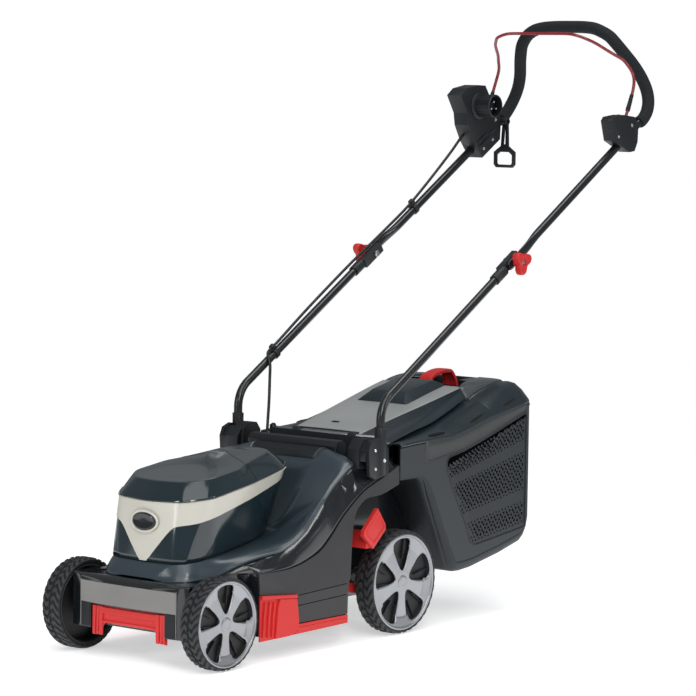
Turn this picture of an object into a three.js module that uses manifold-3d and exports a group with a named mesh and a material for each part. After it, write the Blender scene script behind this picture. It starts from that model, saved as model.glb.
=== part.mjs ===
// Electric rotary lawn mower with a rear grass catcher.
// Millimetres. Front is -Y, up is +Z, +X is the operator's left.
// Working frame of this file: x = 0 on the centre line, y = 0 over the front wheel centres, z = 0 on the ground.

import * as THREE from 'three';
import { mergeVertices } from 'three/addons/utils/BufferGeometryUtils.js';
import Module from 'manifold-3d';

const wasm = await Module();
wasm.setup();

// ---------------------------------------------------------------- driving dimensions

const GAP = 0.3;                    // clearance between touching pieces
const WALL = 3;                     // moulded wall

const FRONT_WHEEL = { y: 0, radius: 82, outerX: 185, width: 42 };
const REAR_WHEEL = { y: 507.5, radius: 96.5, outerX: 173.5, width: 42 };
const WHEEL_SEGMENTS = 32;
const CRANK_ARM = 38;               // axle pivot to wheel centre
const CRANK_REST = THREE.MathUtils.degToRad(25);   // the arm rises rearward by this at the lowest cut
const SHAFT_RADIUS = 5;

const BLADE = { y: 175, radius: 158, z: 52 };
const TUNNEL = { radius: 166, roof: 84 };
const DECK_HALF_WIDTH = 168;
const DECK_BOTTOM = 46;
const CHUTE_HALF_WIDTH = 95;

const TUBE_RADIUS = 8;
const TUBE_X = 171.5;
const BEND = { y: 432.3, z: 431.2, radius: 55 };   // corner of the lower tube
const SLOPE = THREE.MathUtils.degToRad(31.8);      // the straight handle above level
const FOLD_AT = 466.6;              // along the straight handle from the bend corner
const FOAM_RADIUS = 12.4;
const GRIP_START = 972;             // along the straight handle

const BAIL_PIVOT = { y: 1196, z: 936 };
const BAIL_RADIUS = 3;
const CABLE_RADIUS = 2.8;

const FLAP_HINGE = { y: 483, z: 362 };
const CATCHER_HALF_WIDTH = 170;

// ---------------------------------------------------------------- materials

const paint = (color, roughness, metalness = 0) => new THREE.MeshStandardMaterial({ color, roughness, metalness });
const BLACK_GLOSS = paint('#15191c', 0.3);
const BLACK_MATTE = paint('#1d1f21', 0.6);
const GREY_MATTE = paint('#4b4b4d', 0.55);
const SLATE = paint('#46525c', 0.35);
const PETROL = paint('#1d3036', 0.25);
const CREAM = paint('#d9d7cd', 0.4);
const FRONT_GREY = paint('#6b6966', 0.3);
const RED = paint('#d23a34', 0.4);
const STEEL = paint('#b9bcc0', 0.35, 0.9);
const BLACK_PAINT = paint('#111315', 0.3, 0.4);
const BAIL_RED = paint('#8e2631', 0.4, 0.3);
const RUBBER = paint('#17181a', 0.85);
const SILVER = paint('#b4b6b9', 0.35, 0.4);
const FOAM = paint('#18191b', 0.9);

// ---------------------------------------------------------------- solids

/** Closed triangles as a solid, turned right way out if they face inwards. */
function closedSolid(positions, triangles) {
  const build = (triVerts) => new wasm.Manifold(new wasm.Mesh({
    numProp: 3, vertProperties: Float32Array.from(positions), triVerts: Uint32Array.from(triVerts),
  }));
  const solid = build(triangles);
  if (solid.volume() > 0) return solid;
  const flipped = [];
  for (let i = 0; i < triangles.length; i += 3) flipped.push(triangles[i + 1], triangles[i], triangles[i + 2]);
  return build(flipped);
}

/** A closed geometry as a solid that can be joined or cut. */
function solidOf(geometry) {
  const bare = geometry.clone();
  bare.deleteAttribute('normal');
  bare.deleteAttribute('uv');
  const merged = mergeVertices(bare, 1e-3);
  return closedSolid(merged.attributes.position.array, merged.index.array);
}

/** A solid back as a three.js geometry. */
function geometryOf(solid) {
  const mesh = solid.getMesh();
  const geometry = new THREE.BufferGeometry();
  geometry.setAttribute('position', new THREE.BufferAttribute(Float32Array.from(mesh.vertProperties), 3));
  geometry.setIndex(Array.from(mesh.triVerts));
  geometry.computeVertexNormals();
  return geometry;
}

const join = (...solids) => solids.reduce((whole, next) => whole.add(next));
const cut = (solid, ...tools) => tools.reduce((rest, tool) => rest.subtract(tool), solid);

const [X, Y, Z] = [new THREE.Vector3(1, 0, 0), new THREE.Vector3(0, 1, 0), new THREE.Vector3(0, 0, 1)];
const PRISM_AXES = {
  x: new THREE.Matrix4().makeBasis(Y, Z, X),                       // outline in (y, z)
  y: new THREE.Matrix4().makeBasis(X, Z, Y.clone().negate()),      // outline in (x, z)
  z: new THREE.Matrix4().identity(),                               // outline in (x, y)
};

/** A flat outline pushed from low to high along an axis. */
function prism(axis, outline, low, high) {
  const shape = new THREE.Shape(outline.map(([u, v]) => new THREE.Vector2(u, v)));
  const geometry = new THREE.ExtrudeGeometry(shape, { depth: high - low, bevelEnabled: false });
  geometry.translate(0, 0, axis === 'y' ? -high : low);
  geometry.applyMatrix4(PRISM_AXES[axis]);
  return solidOf(geometry);
}

function box([x0, y0, z0], [x1, y1, z1]) {
  const geometry = new THREE.BoxGeometry(x1 - x0, y1 - y0, z1 - z0);
  geometry.translate((x0 + x1) / 2, (y0 + y1) / 2, (z0 + z1) / 2);
  return solidOf(geometry);
}

/** A round bar between two points. */
function bar(from, to, radius, sides = 12) {
  const a = new THREE.Vector3(...from);
  const b = new THREE.Vector3(...to);
  const geometry = new THREE.CylinderGeometry(radius, radius, a.distanceTo(b), sides);
  const turn = new THREE.Quaternion().setFromUnitVectors(Y, b.clone().sub(a).normalize());
  geometry.applyQuaternion(turn);
  const middle = a.add(b).multiplyScalar(0.5);
  geometry.translate(middle.x, middle.y, middle.z);
  return solidOf(geometry);
}

const barX = (x0, x1, y, z, radius, sides) => bar([x0, y, z], [x1, y, z], radius, sides);

/** A solid through closed rings of equal point counts; its two ends are filled as seen along endAxis. */
function loft(rings, endAxis = 'y') {
  const count = rings[0].length;
  const index = [];
  rings.slice(1).forEach((_, step) => {
    for (let i = 0; i < count; i += 1) {
      const a = step * count + i;
      const b = step * count + ((i + 1) % count);
      index.push(a, b, b + count, a, b + count, a + count);
    }
  });
  const seen = ([x, y, z]) => (endAxis === 'y' ? new THREE.Vector2(x, z) : new THREE.Vector2(x, y));
  const fill = (ring) => {
    const flat = ring.map(seen);
    const turn = Math.sign(THREE.ShapeUtils.area(flat));
    return THREE.ShapeUtils.triangulateShape(flat, []).map(([a, b, c]) => {
      const sameTurn = Math.sign(THREE.ShapeUtils.area([flat[a], flat[b], flat[c]])) === turn;
      return sameTurn ? [a, b, c] : [a, c, b];
    });
  };
  const last = (rings.length - 1) * count;
  fill(rings[0]).forEach(([a, b, c]) => index.push(a, c, b));
  fill(rings.at(-1)).forEach(([a, b, c]) => index.push(last + a, last + b, last + c));
  return closedSolid(rings.flat(2), index);
}

/** A path through given points that puts one tube ring at each of them. */
class Route extends THREE.Curve {
  constructor(points) {
    super();
    this.points = points.map((p) => new THREE.Vector3(...p));
  }

  getPoint(t, target = new THREE.Vector3()) {
    const last = this.points.length - 1;
    const at = Math.min(Math.max(t, 0), 1) * last;
    const i = Math.min(Math.floor(at), last - 1);
    return target.lerpVectors(this.points[i], this.points[i + 1], at - i);
  }

  getPointAt(u, target) {
    return this.getPoint(u, target);
  }

  getTangentAt(u, target = new THREE.Vector3()) {
    const last = this.points.length - 1;
    const i = Math.round(u * last);
    const before = this.points[Math.max(i - 1, 0)];
    const after = this.points[Math.min(i + 1, last)];
    return target.subVectors(after, before).normalize();
  }
}

/** A round tube with a ring at each point; boreRadius leaves it open inside. */
function tube(points, radius, sides = 10, boreRadius = 0) {
  const circle = (r) => Array.from({ length: sides }, (_, i) => {
    const angle = (2 * Math.PI * i) / sides;
    return new THREE.Vector2(r * Math.cos(angle), r * Math.sin(angle));
  });
  const shape = new THREE.Shape(circle(radius));
  if (boreRadius > 0) shape.holes.push(new THREE.Path(circle(boreRadius)));
  const options = { steps: points.length - 1, bevelEnabled: false, extrudePath: new Route(points) };
  return solidOf(new THREE.ExtrudeGeometry(shape, options));
}

/** Points of a smooth curve through the given ones. */
function smooth(points, count) {
  const curve = new THREE.CatmullRomCurve3(points.map((p) => new THREE.Vector3(...p)), false, 'centripetal');
  return curve.getSpacedPoints(count).map((p) => p.toArray());
}

/** A solid of revolution about an axis along X; profile points are [distance along X, radius]. */
function turned(profile, centreY, centreZ, segments) {
  const geometry = new THREE.LatheGeometry(profile.map(([along, r]) => new THREE.Vector2(r, along)), segments);
  geometry.rotateZ(-Math.PI / 2);
  geometry.translate(0, centreY, centreZ);
  return solidOf(geometry);
}

const mirrored = (solid) => solid.mirror([1, 0, 0]);

// ---------------------------------------------------------------- the assembly

const mower = new THREE.Group();

function place(name, solid, material, parent = mower) {
  const mesh = new THREE.Mesh(geometryOf(solid), material);
  mesh.name = name;
  parent.add(mesh);
  return mesh;
}

/** Adds a piece on the left (+X) and its mirror image on the right. */
function placePair(name, solid, material) {
  place(`${name}_left`, solid, material);
  place(`${name}_right`, mirrored(solid), material);
}

/** A point of the straight handle, given along it from the bend corner and square above it. */
function onHandle(along, above = 0) {
  const y = BEND.y + along * Math.cos(SLOPE) - above * Math.sin(SLOPE);
  const z = BEND.z + along * Math.sin(SLOPE) + above * Math.cos(SLOPE);
  return [y, z];
}

const handlePoint = (x, along, above = 0) => [x, ...onHandle(along, above)];

// ---------------------------------------------------------------- wheels and axles

function crankPivot(wheel) {
  const y = wheel.y - CRANK_ARM * Math.cos(CRANK_REST);
  const z = wheel.radius - CRANK_ARM * Math.sin(CRANK_REST);
  return [y, z];
}

/** Tyre ring with a shouldered tread. */
function tyreSolid(wheel) {
  const outer = wheel.outerX;
  const inner = outer - wheel.width;
  const seat = wheel.radius * 0.885;
  const shoulder = wheel.radius - 4;
  const profile = [
    [inner + 1, seat], [outer - 1, seat], [outer, shoulder - 4], [outer - 8, wheel.radius],
    [inner + 8, wheel.radius], [inner, shoulder - 4], [inner + 1, seat],
  ];
  return turned(profile, wheel.y, wheel.radius, WHEEL_SEGMENTS);
}

/** One-piece wheel: rim drum, dished face with five openings, and hub with a through bore. */
function wheelSolid(wheel) {
  const outer = wheel.outerX;
  const inner = outer - wheel.width;
  const rim = wheel.radius * 0.885 - GAP;
  const hub = 15;
  const bore = SHAFT_RADIUS + 0.4;
  const profile = [
    [inner + 3, bore], [outer - 4, bore], [outer - 4, hub], [outer - 2, rim - 4], [outer - 2, rim],
    [inner + 4, rim], [inner + 4, rim - 4], [outer - 12, rim - 5], [outer - 12, hub], [inner + 3, hub],
    [inner + 3, bore],
  ];
  const openings = Array.from({ length: 5 }, (_, i) => {
    const at = Math.PI / 2 + (2 * Math.PI * i) / 5;
    const corner = (r, spread) => [wheel.y + r * Math.cos(at + spread), wheel.radius + r * Math.sin(at + spread)];
    const near = wheel.radius * 0.34;
    const far = wheel.radius * 0.78;
    return prism('x', [corner(near, -0.2), corner(far * 0.75, -0.36), corner(far, -0.33), corner(far, 0.33),
      corner(far * 0.75, 0.36), corner(near, 0.2)], outer - 16, outer);
  });
  return cut(turned(profile, wheel.y, wheel.radius, WHEEL_SEGMENTS), ...openings);
}

/** Cross shaft with a crank arm and a wheel stub at each end, and a lug that the link rod hooks into. */
function axleSolid(wheel, armInnerX) {
  const [pivotY, pivotZ] = crankPivot(wheel);
  const armOuterX = armInnerX + 6;
  const stubEnd = wheel.outerX - 6;
  const arm = (x0, x1) => {
    const [ny, nz] = [-Math.sin(CRANK_REST) * 8, Math.cos(CRANK_REST) * 8];
    return join(
      prism('x', [[pivotY + ny, pivotZ + nz], [pivotY - ny, pivotZ - nz],
        [wheel.y - ny, wheel.radius - nz], [wheel.y + ny, wheel.radius + nz]], x0, x1),
      barX(x0, x1, pivotY, pivotZ, 8), barX(x0, x1, wheel.y, wheel.radius, 8));
  };
  const stub = barX(armInnerX, stubEnd, wheel.y, wheel.radius, SHAFT_RADIUS);
  const [pinY, pinZ] = linkPin(wheel);
  const lug = join(
    prism('x', [[pivotY - 7, pivotZ], [pivotY + 7, pivotZ], [pinY + 5, pinZ + 4], [pinY - 5, pinZ + 4]], ...LUG_X),
    barX(LUG_X[0], LUG_X[1] + 5, pinY, pinZ, 3));
  return join(barX(-armOuterX, armOuterX, pivotY, pivotZ, SHAFT_RADIUS), arm(armInnerX, armOuterX),
    arm(-armOuterX, -armInnerX), stub, mirrored(stub), lug);
}

const LINK_ARM = 30;                // pivot to link pin, straight up at rest
const LUG_X = [95.5, 99];

function linkPin(wheel) {
  const [y, z] = crankPivot(wheel);
  return [y, z + LINK_ARM];
}

function addRunningGear() {
  for (const [name, wheel] of [['front', FRONT_WHEEL], ['rear', REAR_WHEEL]]) {
    const tyre = tyreSolid(wheel);
    const disc = wheelSolid(wheel);
    placePair(`tyre_${name}`, tyre, RUBBER);
    placePair(`wheel_${name}`, disc, SILVER);
  }
  place('front_axle', axleSolid(FRONT_WHEEL, 117), STEEL);
  place('rear_axle', axleSolid(REAR_WHEEL, 119), STEEL);

  const [frontY, frontZ] = linkPin(FRONT_WHEEL);
  const [rearY, rearZ] = linkPin(REAR_WHEEL);
  const rodX = [LUG_X[1] + GAP, LUG_X[1] + 4];
  const eye = (y, z) => cut(barX(...rodX, y, z, 6.5), barX(rodX[0] - 1, rodX[1] + 1, y, z, 3.35));
  const strap = prism('x', [[frontY - 4, frontZ + 4], [rearY + 4, rearZ + 4], [rearY + 4, rearZ + 11],
    [frontY - 4, frontZ + 11]], ...rodX);
  place('height_link', join(strap, eye(frontY, frontZ), eye(rearY, rearZ)), STEEL);
}

// Red paddle outside the side panel, on an arm that clamps the rear axle.
function addHeightLever() {
  const [pivotY, pivotZ] = crankPivot(REAR_WHEEL);
  const arm = prism('x', [[pivotY - 3, pivotZ + 10], [392, 104], [388, 150], [402, 176], [390, 190], [370, 160],
    [372, 92], [pivotY - 3, pivotZ - 10]], 108, 115);
  const clamp = barX(108, 115, pivotY, pivotZ, 11);
  const neck = prism('x', [[388, 172], [410, 172], [420, 200], [394, 200]], 108, 176);
  const paddle = prism('x', [[414, 244], [437, 213], [438, 203], [402, 171], [374, 197], [375, 206]], 174.5, 183);
  const lever = cut(join(arm, clamp, neck, paddle), barX(100, 120, pivotY, pivotZ, SHAFT_RADIUS + GAP));
  place('height_lever', lever, RED);
}

// ---------------------------------------------------------------- deck

/**
 * Slate cover, front to back. Each row: y, height at the middle, then (x, z) of the inner ridge,
 * of the shoulder and of the outer lip.
 */
const COVER = [
  [-33, 149.5, 30, 149.5, 45, 149, 60, 148.5],
  [-26, 160, 45, 160, 62, 151, 75, 149],
  [-17, 173.5, 60, 173, 76, 160, 88, 149.5],
  [-6, 176, 80, 176, 92, 162, 98, 150],
  [8, 177.8, 91, 177.8, 100, 164, 105, 152],
  [25, 179.5, 97, 179.5, 104, 168, 111, 154],
  [60, 183, 100, 183, 112, 174, 121, 162],
  [97, 186.7, 95, 186.7, 118, 184, 136, 176],
  [136, 190.6, 90, 190.6, 130, 193, 153, 187],
  [172, 194.2, 84, 194.2, 140, 199, 161, 193],
  [204, 197.4, 78, 197.4, 146, 209, 165, 206],
  [232, 200.2, 68, 200.2, 146, 226, 165, 224],
  [258, 202.8, 60, 203.5, 146, 248, 165, 248],
  [278, 204.6, 60, 206, 146, 265, 164.5, 267],
  [286, 205, 66, 230, 146, 272, 164, 274],
  [311, 207, 69, 266, 143, 292, 160, 291],
  [335, 209, 73, 298, 141, 309, 158, 306],
  [357, 330, 77, 330, 139, 324, 155, 316],
  [371, 345, 80, 346, 138, 332, 154, 323],
  [383, 350, 82, 350, 130, 337, 149, 328],
];
const COVER_SKIN = 3.5;
const COVER_SEAT = 0.6;             // clearance under the slate cover

/** Height of the matte side panel's upper edge along the machine. */
const PANEL_TOP = [[97, 160], [132, 158], [175, 159], [211, 164], [247, 174], [272, 185], [298, 206], [327, 234],
  [357, 257], [390, 278], [420, 290.5], [447, 300], [490, 316]];
/** Front and top of the rear wheel arch. */
const ARCH = [[346, DECK_BOTTOM], [352, 136], [356, 200], [366, 240], [395, 262], [440, 266], [490, 280]];

const mirrorOutline = (half) => [...half, ...half.slice().reverse().map(([x, y]) => [-x, y])];

function deckPlan(inset) {
  return mirrorOutline([[108 - inset, -46 + inset], [112 - inset, 40 + inset / 2], [128 - inset / 2, 88 + inset],
    [150 - inset / 2, 97 + inset], [DECK_HALF_WIDTH - inset, 99 + inset], [DECK_HALF_WIDTH - inset, 490 - inset]]);
}

/** Space under the deck's upper surface: level between the lips, falling to the side panel's edge. */
function deckRoof(drop) {
  const rows = [[-60, 110, 130, 130], [-30, 110, 140, 136]];
  COVER.filter(([y]) => y >= 25).forEach(([y, , , , , , lipX, lipZ]) => {
    const edge = PANEL_TOP.find(([panelY]) => panelY >= y) ?? PANEL_TOP[0];
    rows.push([y, lipX, lipZ - COVER_SKIN - COVER_SEAT, Math.min(edge[1] - 1, lipZ - 6)]);
  });
  rows.push([420, 150, 318, 291], [447, 150, 320, 300], [500, 150, 322, 319]);
  return loft(rows.map(([y, lipX, lipZ, sideZ]) => [[-172, y, 0], [172, y, 0], [172, y, sideZ - drop],
    [lipX, y, lipZ - drop], [-lipX, y, lipZ - drop], [-172, y, sideZ - drop]]));
}

/** Opening in the deck's top, just inside the lip of the slate cover. */
function lipPlan(inset) {
  const rows = COVER.filter(([y]) => y >= 8).map(([y, , , , , , lipX]) => [lipX - inset, y]);
  return mirrorOutline([[70 - inset, -24], [92 - inset, -6], ...rows, [138, 400], [138, 487]]);
}

const CHUTE_START = 335;
const CHUTE_FLOOR = [[330, DECK_BOTTOM], [400, 58], [473, 102], [540, 138], [622, 168]];
const CHUTE_ROOF = [[552, 284], [480, 262], [390, 200], [330, 120], [290, 90]];

/** Deck: a front shell with the blade tunnel and motor seat, and a rear shell with the discharge chute. */
function addDeckShell() {
  const [frontY, frontZ] = crankPivot(FRONT_WHEEL);
  const [rearY, rearZ] = crankPivot(REAR_WHEEL);
  const [, rodRearZ] = linkPin(REAR_WHEEL);
  const floorZ = TUNNEL.roof + WALL;
  const side = prism('x', [[-46, 62], [8, DECK_BOTTOM], ...ARCH, [490, 400], [-46, 400]], -200, 200);
  const outer = side.intersect(prism('z', deckPlan(0), 0, 400)).intersect(deckRoof(0));

  const baySide = prism('x', [[-43, 62], [2, 62], [6, floorZ], [300, floorZ], [340, 128], [348, 206], [360, 246],
    [392, 267], [438, 271], [487, 285], [487, 400], [-43, 400]], -200, 200);
  const bay = baySide.intersect(prism('z', deckPlan(WALL), 0, 400)).intersect(deckRoof(4));
  const topOpening = baySide.intersect(prism('z', lipPlan(8), 0, 400));
  const frontPocket = box([-104, -43, 40], [104, 4, 100]);

  const chute = prism('x', [...CHUTE_FLOOR, ...CHUTE_ROOF], -CHUTE_HALF_WIDTH, CHUTE_HALF_WIDTH);
  const bearingWeb = prism('x', [[430, 78], [442, 68], [504, 68], [505, 120.5], [473, 103.5]], 84, 90);
  const hingePost = prism('x', [[472, 300], [487.2, 300], [487.2, 366], [484, 371], [476, 368]], 123, 130);

  const chuteBore = prism('x', [[250, 30], [329, 40], [400, 61], [473, 105], [540, 141], [630, 174], [560, 281],
    [481, 258.5], [391, 196.5], [332, 117], [292, TUNNEL.roof - 1], [250, TUNNEL.roof - 1]],
  -CHUTE_HALF_WIDTH + WALL, CHUTE_HALF_WIDTH - WALL);
  const tunnel = bar([0, BLADE.y, 0], [0, BLADE.y, TUNNEL.roof], TUNNEL.radius, 40);
  const rodSlot = box([94.9, 200, floorZ], [107, 470, rodRearZ + 15]);
  const holes = [
    barX(-120, 120, frontY, frontZ, SHAFT_RADIUS + 0.5),
    barX(-94, 94, rearY, rearZ, SHAFT_RADIUS + 0.5),
    bar([0, BLADE.y, TUNNEL.roof - 5], [0, BLADE.y, floorZ + 5], 14, 24),
    barX(-131, 131, FLAP_HINGE.y, FLAP_HINGE.z, 4.3),
  ];
  const bracketSeats = [1, -1].map((way) => {
    const seat = join(box([131, 383.5, 316], [200, 449, 400]), box([158, 419, 300], [200, 446.5, 400]));
    return way > 0 ? seat : mirrored(seat);
  });
  const walls = cut(outer, bay, topOpening, frontPocket, ...bracketSeats);
  const shell = cut(join(walls, chute, bearingWeb, mirrored(bearingWeb), hingePost, mirrored(hingePost)),
    tunnel, chuteBore, rodSlot, coverSlab(COVER_SKIN + GAP), ...holes);
  const [front, rear] = [box([-200, -60, 0], [200, CHUTE_START - GAP / 2, 420]),
    box([-200, CHUTE_START + GAP / 2, 0], [200, 640, 420])];
  place('deck_shell', shell.intersect(front), BLACK_GLOSS);
  place('discharge_chute', shell.intersect(rear), BLACK_GLOSS);
}

/** The slate cover as one slab of a given thickness, before its openings. */
function coverSlab(thickness) {
  return loft(COVER.map(([y, middleZ, ridgeX, ridgeZ, shoulderX, shoulderZ, lipX, lipZ]) => {
    const half = [[ridgeX, ridgeZ], [shoulderX, shoulderZ], [lipX, lipZ]];
    const top = [...half.slice().reverse().map(([x, z]) => [-x, z]), [0, middleZ], ...half];
    const under = top.slice().reverse().map(([x, z]) => [x, z - thickness]);
    return [...top, ...under].map(([x, z]) => [x, y, z]);
  }));
}

function addDeckCover() {
  const motorPlan = mirrorOutline([[40, 0], [72, 10], [82, 55], [74, 140], [66, 190], [44, 245]]);
  const motorOpening = prism('z', motorPlan, 0, 400);
  const rearRecess = prism('z', mirrorOutline([[60, 320], [66, 340], [70, 362]]), 0, 400);
  place('deck_cover', cut(coverSlab(COVER_SKIN), motorOpening, rearRecess), SLATE);
}

/** Carrying bar behind the recess, with a cheek at each end that stands on the cover. */
function addCarryHandle() {
  const section = [[386, 341], [385, 352], [392, 361], [404, 363], [413, 356], [410, 344], [398, 338]];
  const cheek = prism('x', [[386, 338.5], [385, 352], [392, 361], [404, 363], [413, 356], [414, 324],
    [386.5, 324]], 92, 106);
  place('carry_handle', join(prism('x', section, -106, 106), cheek, mirrored(cheek)), BLACK_GLOSS);
}

function addSidePanels() {
  const lower = PANEL_TOP.map(([y, z]) => [y, z - 1.5]);
  const outline = [[100, 119], [201, 107], [202, 57], [345.5, 57], ...ARCH.slice(1), ...lower.slice().reverse()];
  placePair('side_panel', prism('x', outline, DECK_HALF_WIDTH + GAP, DECK_HALF_WIDTH + 3.5), GREY_MATTE);
}

function addRedSkirts() {
  const outline = [[100, 36], [345, 41], [345, 56.5], [201.5, 56.5], [200.5, 106.5], [100, 118.5]];
  const plate = prism('x', outline, DECK_HALF_WIDTH + GAP, DECK_HALF_WIDTH + 4);
  const block = prism('x', [[101, 37], [199, 38], [196, 103], [102, 114]], DECK_HALF_WIDTH + 3,
    DECK_HALF_WIDTH + 9);
  placePair('side_skirt', join(plate, block), RED);

  const teeth = prism('y', [[-87, 39.7], [-62, 39.7], [-58, 62], [58, 62], [62, 39.7], [87, 39.7], [87, 94],
    [-87, 94]], -51, -46.5);
  place('front_comb', teeth, RED);
}

/** Front bumper: bowed face between two legs, bevelled ends and the ledge on top. */
function addFrontApron() {
  const face = prism('z', mirrorOutline([[0, -60], [60, -58.5], [112.5, -54], [137, -49], [136, -46.3],
    [112, -50.8], [60, -55.5], [0, -57]]), 53, 146);
  const mouth = box([-87.5, -80, 40], [87.5, -40, 96]);
  const ledge = prism('x', [[-60, 135], [-44, 143], [60, 146], [60, 149], [-46, 147], [-61, 139]], -137, 137);
  const bowPlan = mirrorOutline([[0, -60], [60, -58.5], [112.5, -54], [137, -49], [137, 60], [0, 60.1]]);
  const bow = prism('z', bowPlan, 40, 160);
  const rows = COVER.filter(([y]) => y < 90).map(([y, , , , , , lipX]) => [lipX + 1, y - 1]);
  const coverPlan = join(prism('z', mirrorOutline([...rows, [130, 90]]), 100, 200),
    prism('z', deckPlan(-0.5), 100, 200).intersect(box([-200, -12, 100], [200, 90, 200])));
  const ends = join(box([112.4, -80, 100], [140, -46.2, 143]), box([-140, -80, 100], [-112.4, -46.2, 143]));
  const top = cut(ledge.intersect(bow), coverPlan, cut(ends, box([-140, -47, 100], [140, -40, 143])));
  const slope = prism('x', [[-80, 138], [-61, 138], [-46, 146.5], [-46, 160], [-80, 160]], -140, 140);
  place('front_apron', join(cut(face, mouth, slope), top), FRONT_GREY);
}

// ---------------------------------------------------------------- motor hood and its cap

const HOOD_FOOT = [[0, -17], [60, -13], [75, -8], [84, -4], [88, -1], [97, 55], [91, 100], [85, 144], [80, 170],
  [75, 194], [52, 258], [0, 275]];
const CAP_EDGE = [[0, -11], [71, 1], [84, 12], [92, 22], [103, 38], [108, 50], [104, 121], [100, 164], [91, 217],
  [81, 269], [55, 306], [0, 312]];
const CAP_TOP = [[0, 14], [51, 20], [77, 39], [86, 55], [92, 68], [91, 100], [90, 136], [77, 162], [62, 218],
  [50, 261], [30, 276], [0, 278]];
const footZ = (y) => 177.7 + 0.1 * y;
const edgeZ = (y) => 282.7 + 0.142 * y;
const topZ = (y) => 311.6 + 0.142 * y;
const HOOD_MIDDLE_Y = 149;

/** A closed ring in plan from half of it, drawn in by inset and scaled about the hood's middle. */
function hoodRing(half, height, inset = 0, scale = 1) {
  const whole = [...half, ...half.slice(1, -1).reverse().map(([x, y]) => [-x, y])];
  return whole.map(([x, y]) => {
    const [dx, dy] = [x * scale, (y - HOOD_MIDDLE_Y) * scale];
    const shrink = 1 - inset / Math.hypot(dx, dy);
    return [dx * shrink, HOOD_MIDDLE_Y + dy * shrink, height(y)];
  });
}

function addHood() {
  const lowered = (height, by) => (y) => height(y) - by;
  const outer = loft([hoodRing(HOOD_FOOT, footZ), hoodRing(CAP_EDGE, edgeZ)], 'z');
  const inner = loft([hoodRing(HOOD_FOOT, lowered(footZ, 3), 4), hoodRing(CAP_EDGE, lowered(edgeZ, -3), 4)], 'z');
  const shell = cut(outer, inner);
  const band = (spread) => prism('x', [[-40, 238 - spread], [0, 243 - spread], [120, 269.7 - spread],
    [270 + spread, 307 - spread], [270 + spread, 340], [-40, 300]], -150, 150);
  const vee = (spread) => prism('y', [[0, 172 - 2 * spread], [66 + spread, 246], [-66 - spread, 246]], -40, 60);
  place('motor_hood', cut(shell, band(GAP), vee(GAP)), PETROL);
  place('hood_trim', shell.intersect(join(band(0), vee(0))), CREAM);

  const capOuter = loft([hoodRing(CAP_EDGE, lowered(edgeZ, -GAP)), hoodRing(CAP_TOP, topZ),
    hoodRing(CAP_TOP, lowered(topZ, -5), 0, 0.72)], 'z');
  const capInner = loft([hoodRing(CAP_EDGE, lowered(edgeZ, 2), 4), hoodRing(CAP_TOP, lowered(topZ, 3.5), 4)], 'z');
  place('hood_cap', cut(capOuter, capInner), PETROL);

  const badge = Array.from({ length: 20 }, (_, i) => {
    const angle = (2 * Math.PI * i) / 20;
    return [26 * Math.cos(angle), 248 + 13 * Math.sin(angle)];
  });
  place('front_badge', prism('y', badge, -17.5, -13.8), BLACK_MATTE);
}

function addMotor() {
  const { y, z } = BLADE;
  const upright = (z0, z1, radius, sides = 28) => bar([0, y, z0], [0, y, z1], radius, sides);
  const seat = TUNNEL.roof + WALL + GAP;
  place('motor_stator', cut(upright(seat, 190, 42), upright(seat - 1, 191, 9.5)), STEEL);
  place('motor_shaft', cut(upright(z + 4.3, 195, 9), upright(z, z + 25, 5.3)), STEEL);
  const carrier = join(upright(z + 4.3, z + 10, 40), upright(z + 9, z + 20, 18));
  place('blade_carrier', cut(carrier, upright(z, z + 30, 9.3)), BLACK_MATTE);
  const half = [[-14, y - 24], [-26, y - 90], [-22, y - BLADE.radius], [18, y - BLADE.radius + 2], [24, y - 90],
    [14, y - 22]];
  const other = half.map(([x, by]) => [-x, 2 * y - by]);
  place('cutting_blade', cut(prism('z', [...half, ...other], z, z + 4), upright(z - 1, z + 5, 5.3)), STEEL);
  place('blade_bolt', join(upright(z - 7, z - GAP, 10, 6), upright(z - 1, z + 23, 5, 16)), STEEL);
}

// ---------------------------------------------------------------- handle

const FOLD = onHandle(FOLD_AT);

/** Corner of the lower tube as points of its arc. */
function bendPoints() {
  const reach = BEND.radius * Math.tan((Math.PI / 2 - SLOPE) / 2);
  const centre = [BEND.y + BEND.radius, BEND.z - reach];
  return Array.from({ length: 7 }, (_, i) => {
    const angle = Math.PI - ((Math.PI / 2 - SLOPE) * i) / 6;
    return [TUBE_X, centre[0] + BEND.radius * Math.cos(angle), centre[1] + BEND.radius * Math.sin(angle)];
  });
}

/** Outline in (y, z) of a strip along the straight handle. */
function handleStrip(from, to, below, above) {
  return [onHandle(from, -below), onHandle(to, -below), onHandle(to, above), onHandle(from, above)];
}

const SOCKET = { bottom: 303, top: 388, radius: 10.6 };

function addHandleBrackets() {
  const block = prism('x', [[385.5, 316.3], [447, 316.3], [447, 350], [436, 366], [400, 370], [386, 352]], 133, 160);
  const cheek = prism('x', [[393, 304], [408, 297], [446.5, 303], [447, 350], [436, 368], [414, 373], [396, 366],
    [389, 350]], 172, 180);
  const bridge = prism('x', [[389, 330], [447, 330], [447, 350], [436, 366], [400, 368], [389, 350]], 159, 173);
  const socket = bar([TUBE_X, BEND.y, SOCKET.bottom], [TUBE_X, BEND.y, SOCKET.top], SOCKET.radius, 20);
  const bore = bar([TUBE_X, BEND.y, SOCKET.bottom + 3], [TUBE_X, BEND.y, SOCKET.top + 1], TUBE_RADIUS + 0.4, 20);
  place('handle_bracket_left', cut(join(block, cheek, bridge, socket), bore), BLACK_MATTE);
  const dome = join(block, prism('x', [[395, 316.3], [447, 316.3], [447, 362], [436, 376], [412, 378],
    [398, 366]], 128, 152));
  place('handle_bracket_right', mirrored(cut(join(dome, cheek, bridge, socket), bore)), BLACK_MATTE);
}

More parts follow.
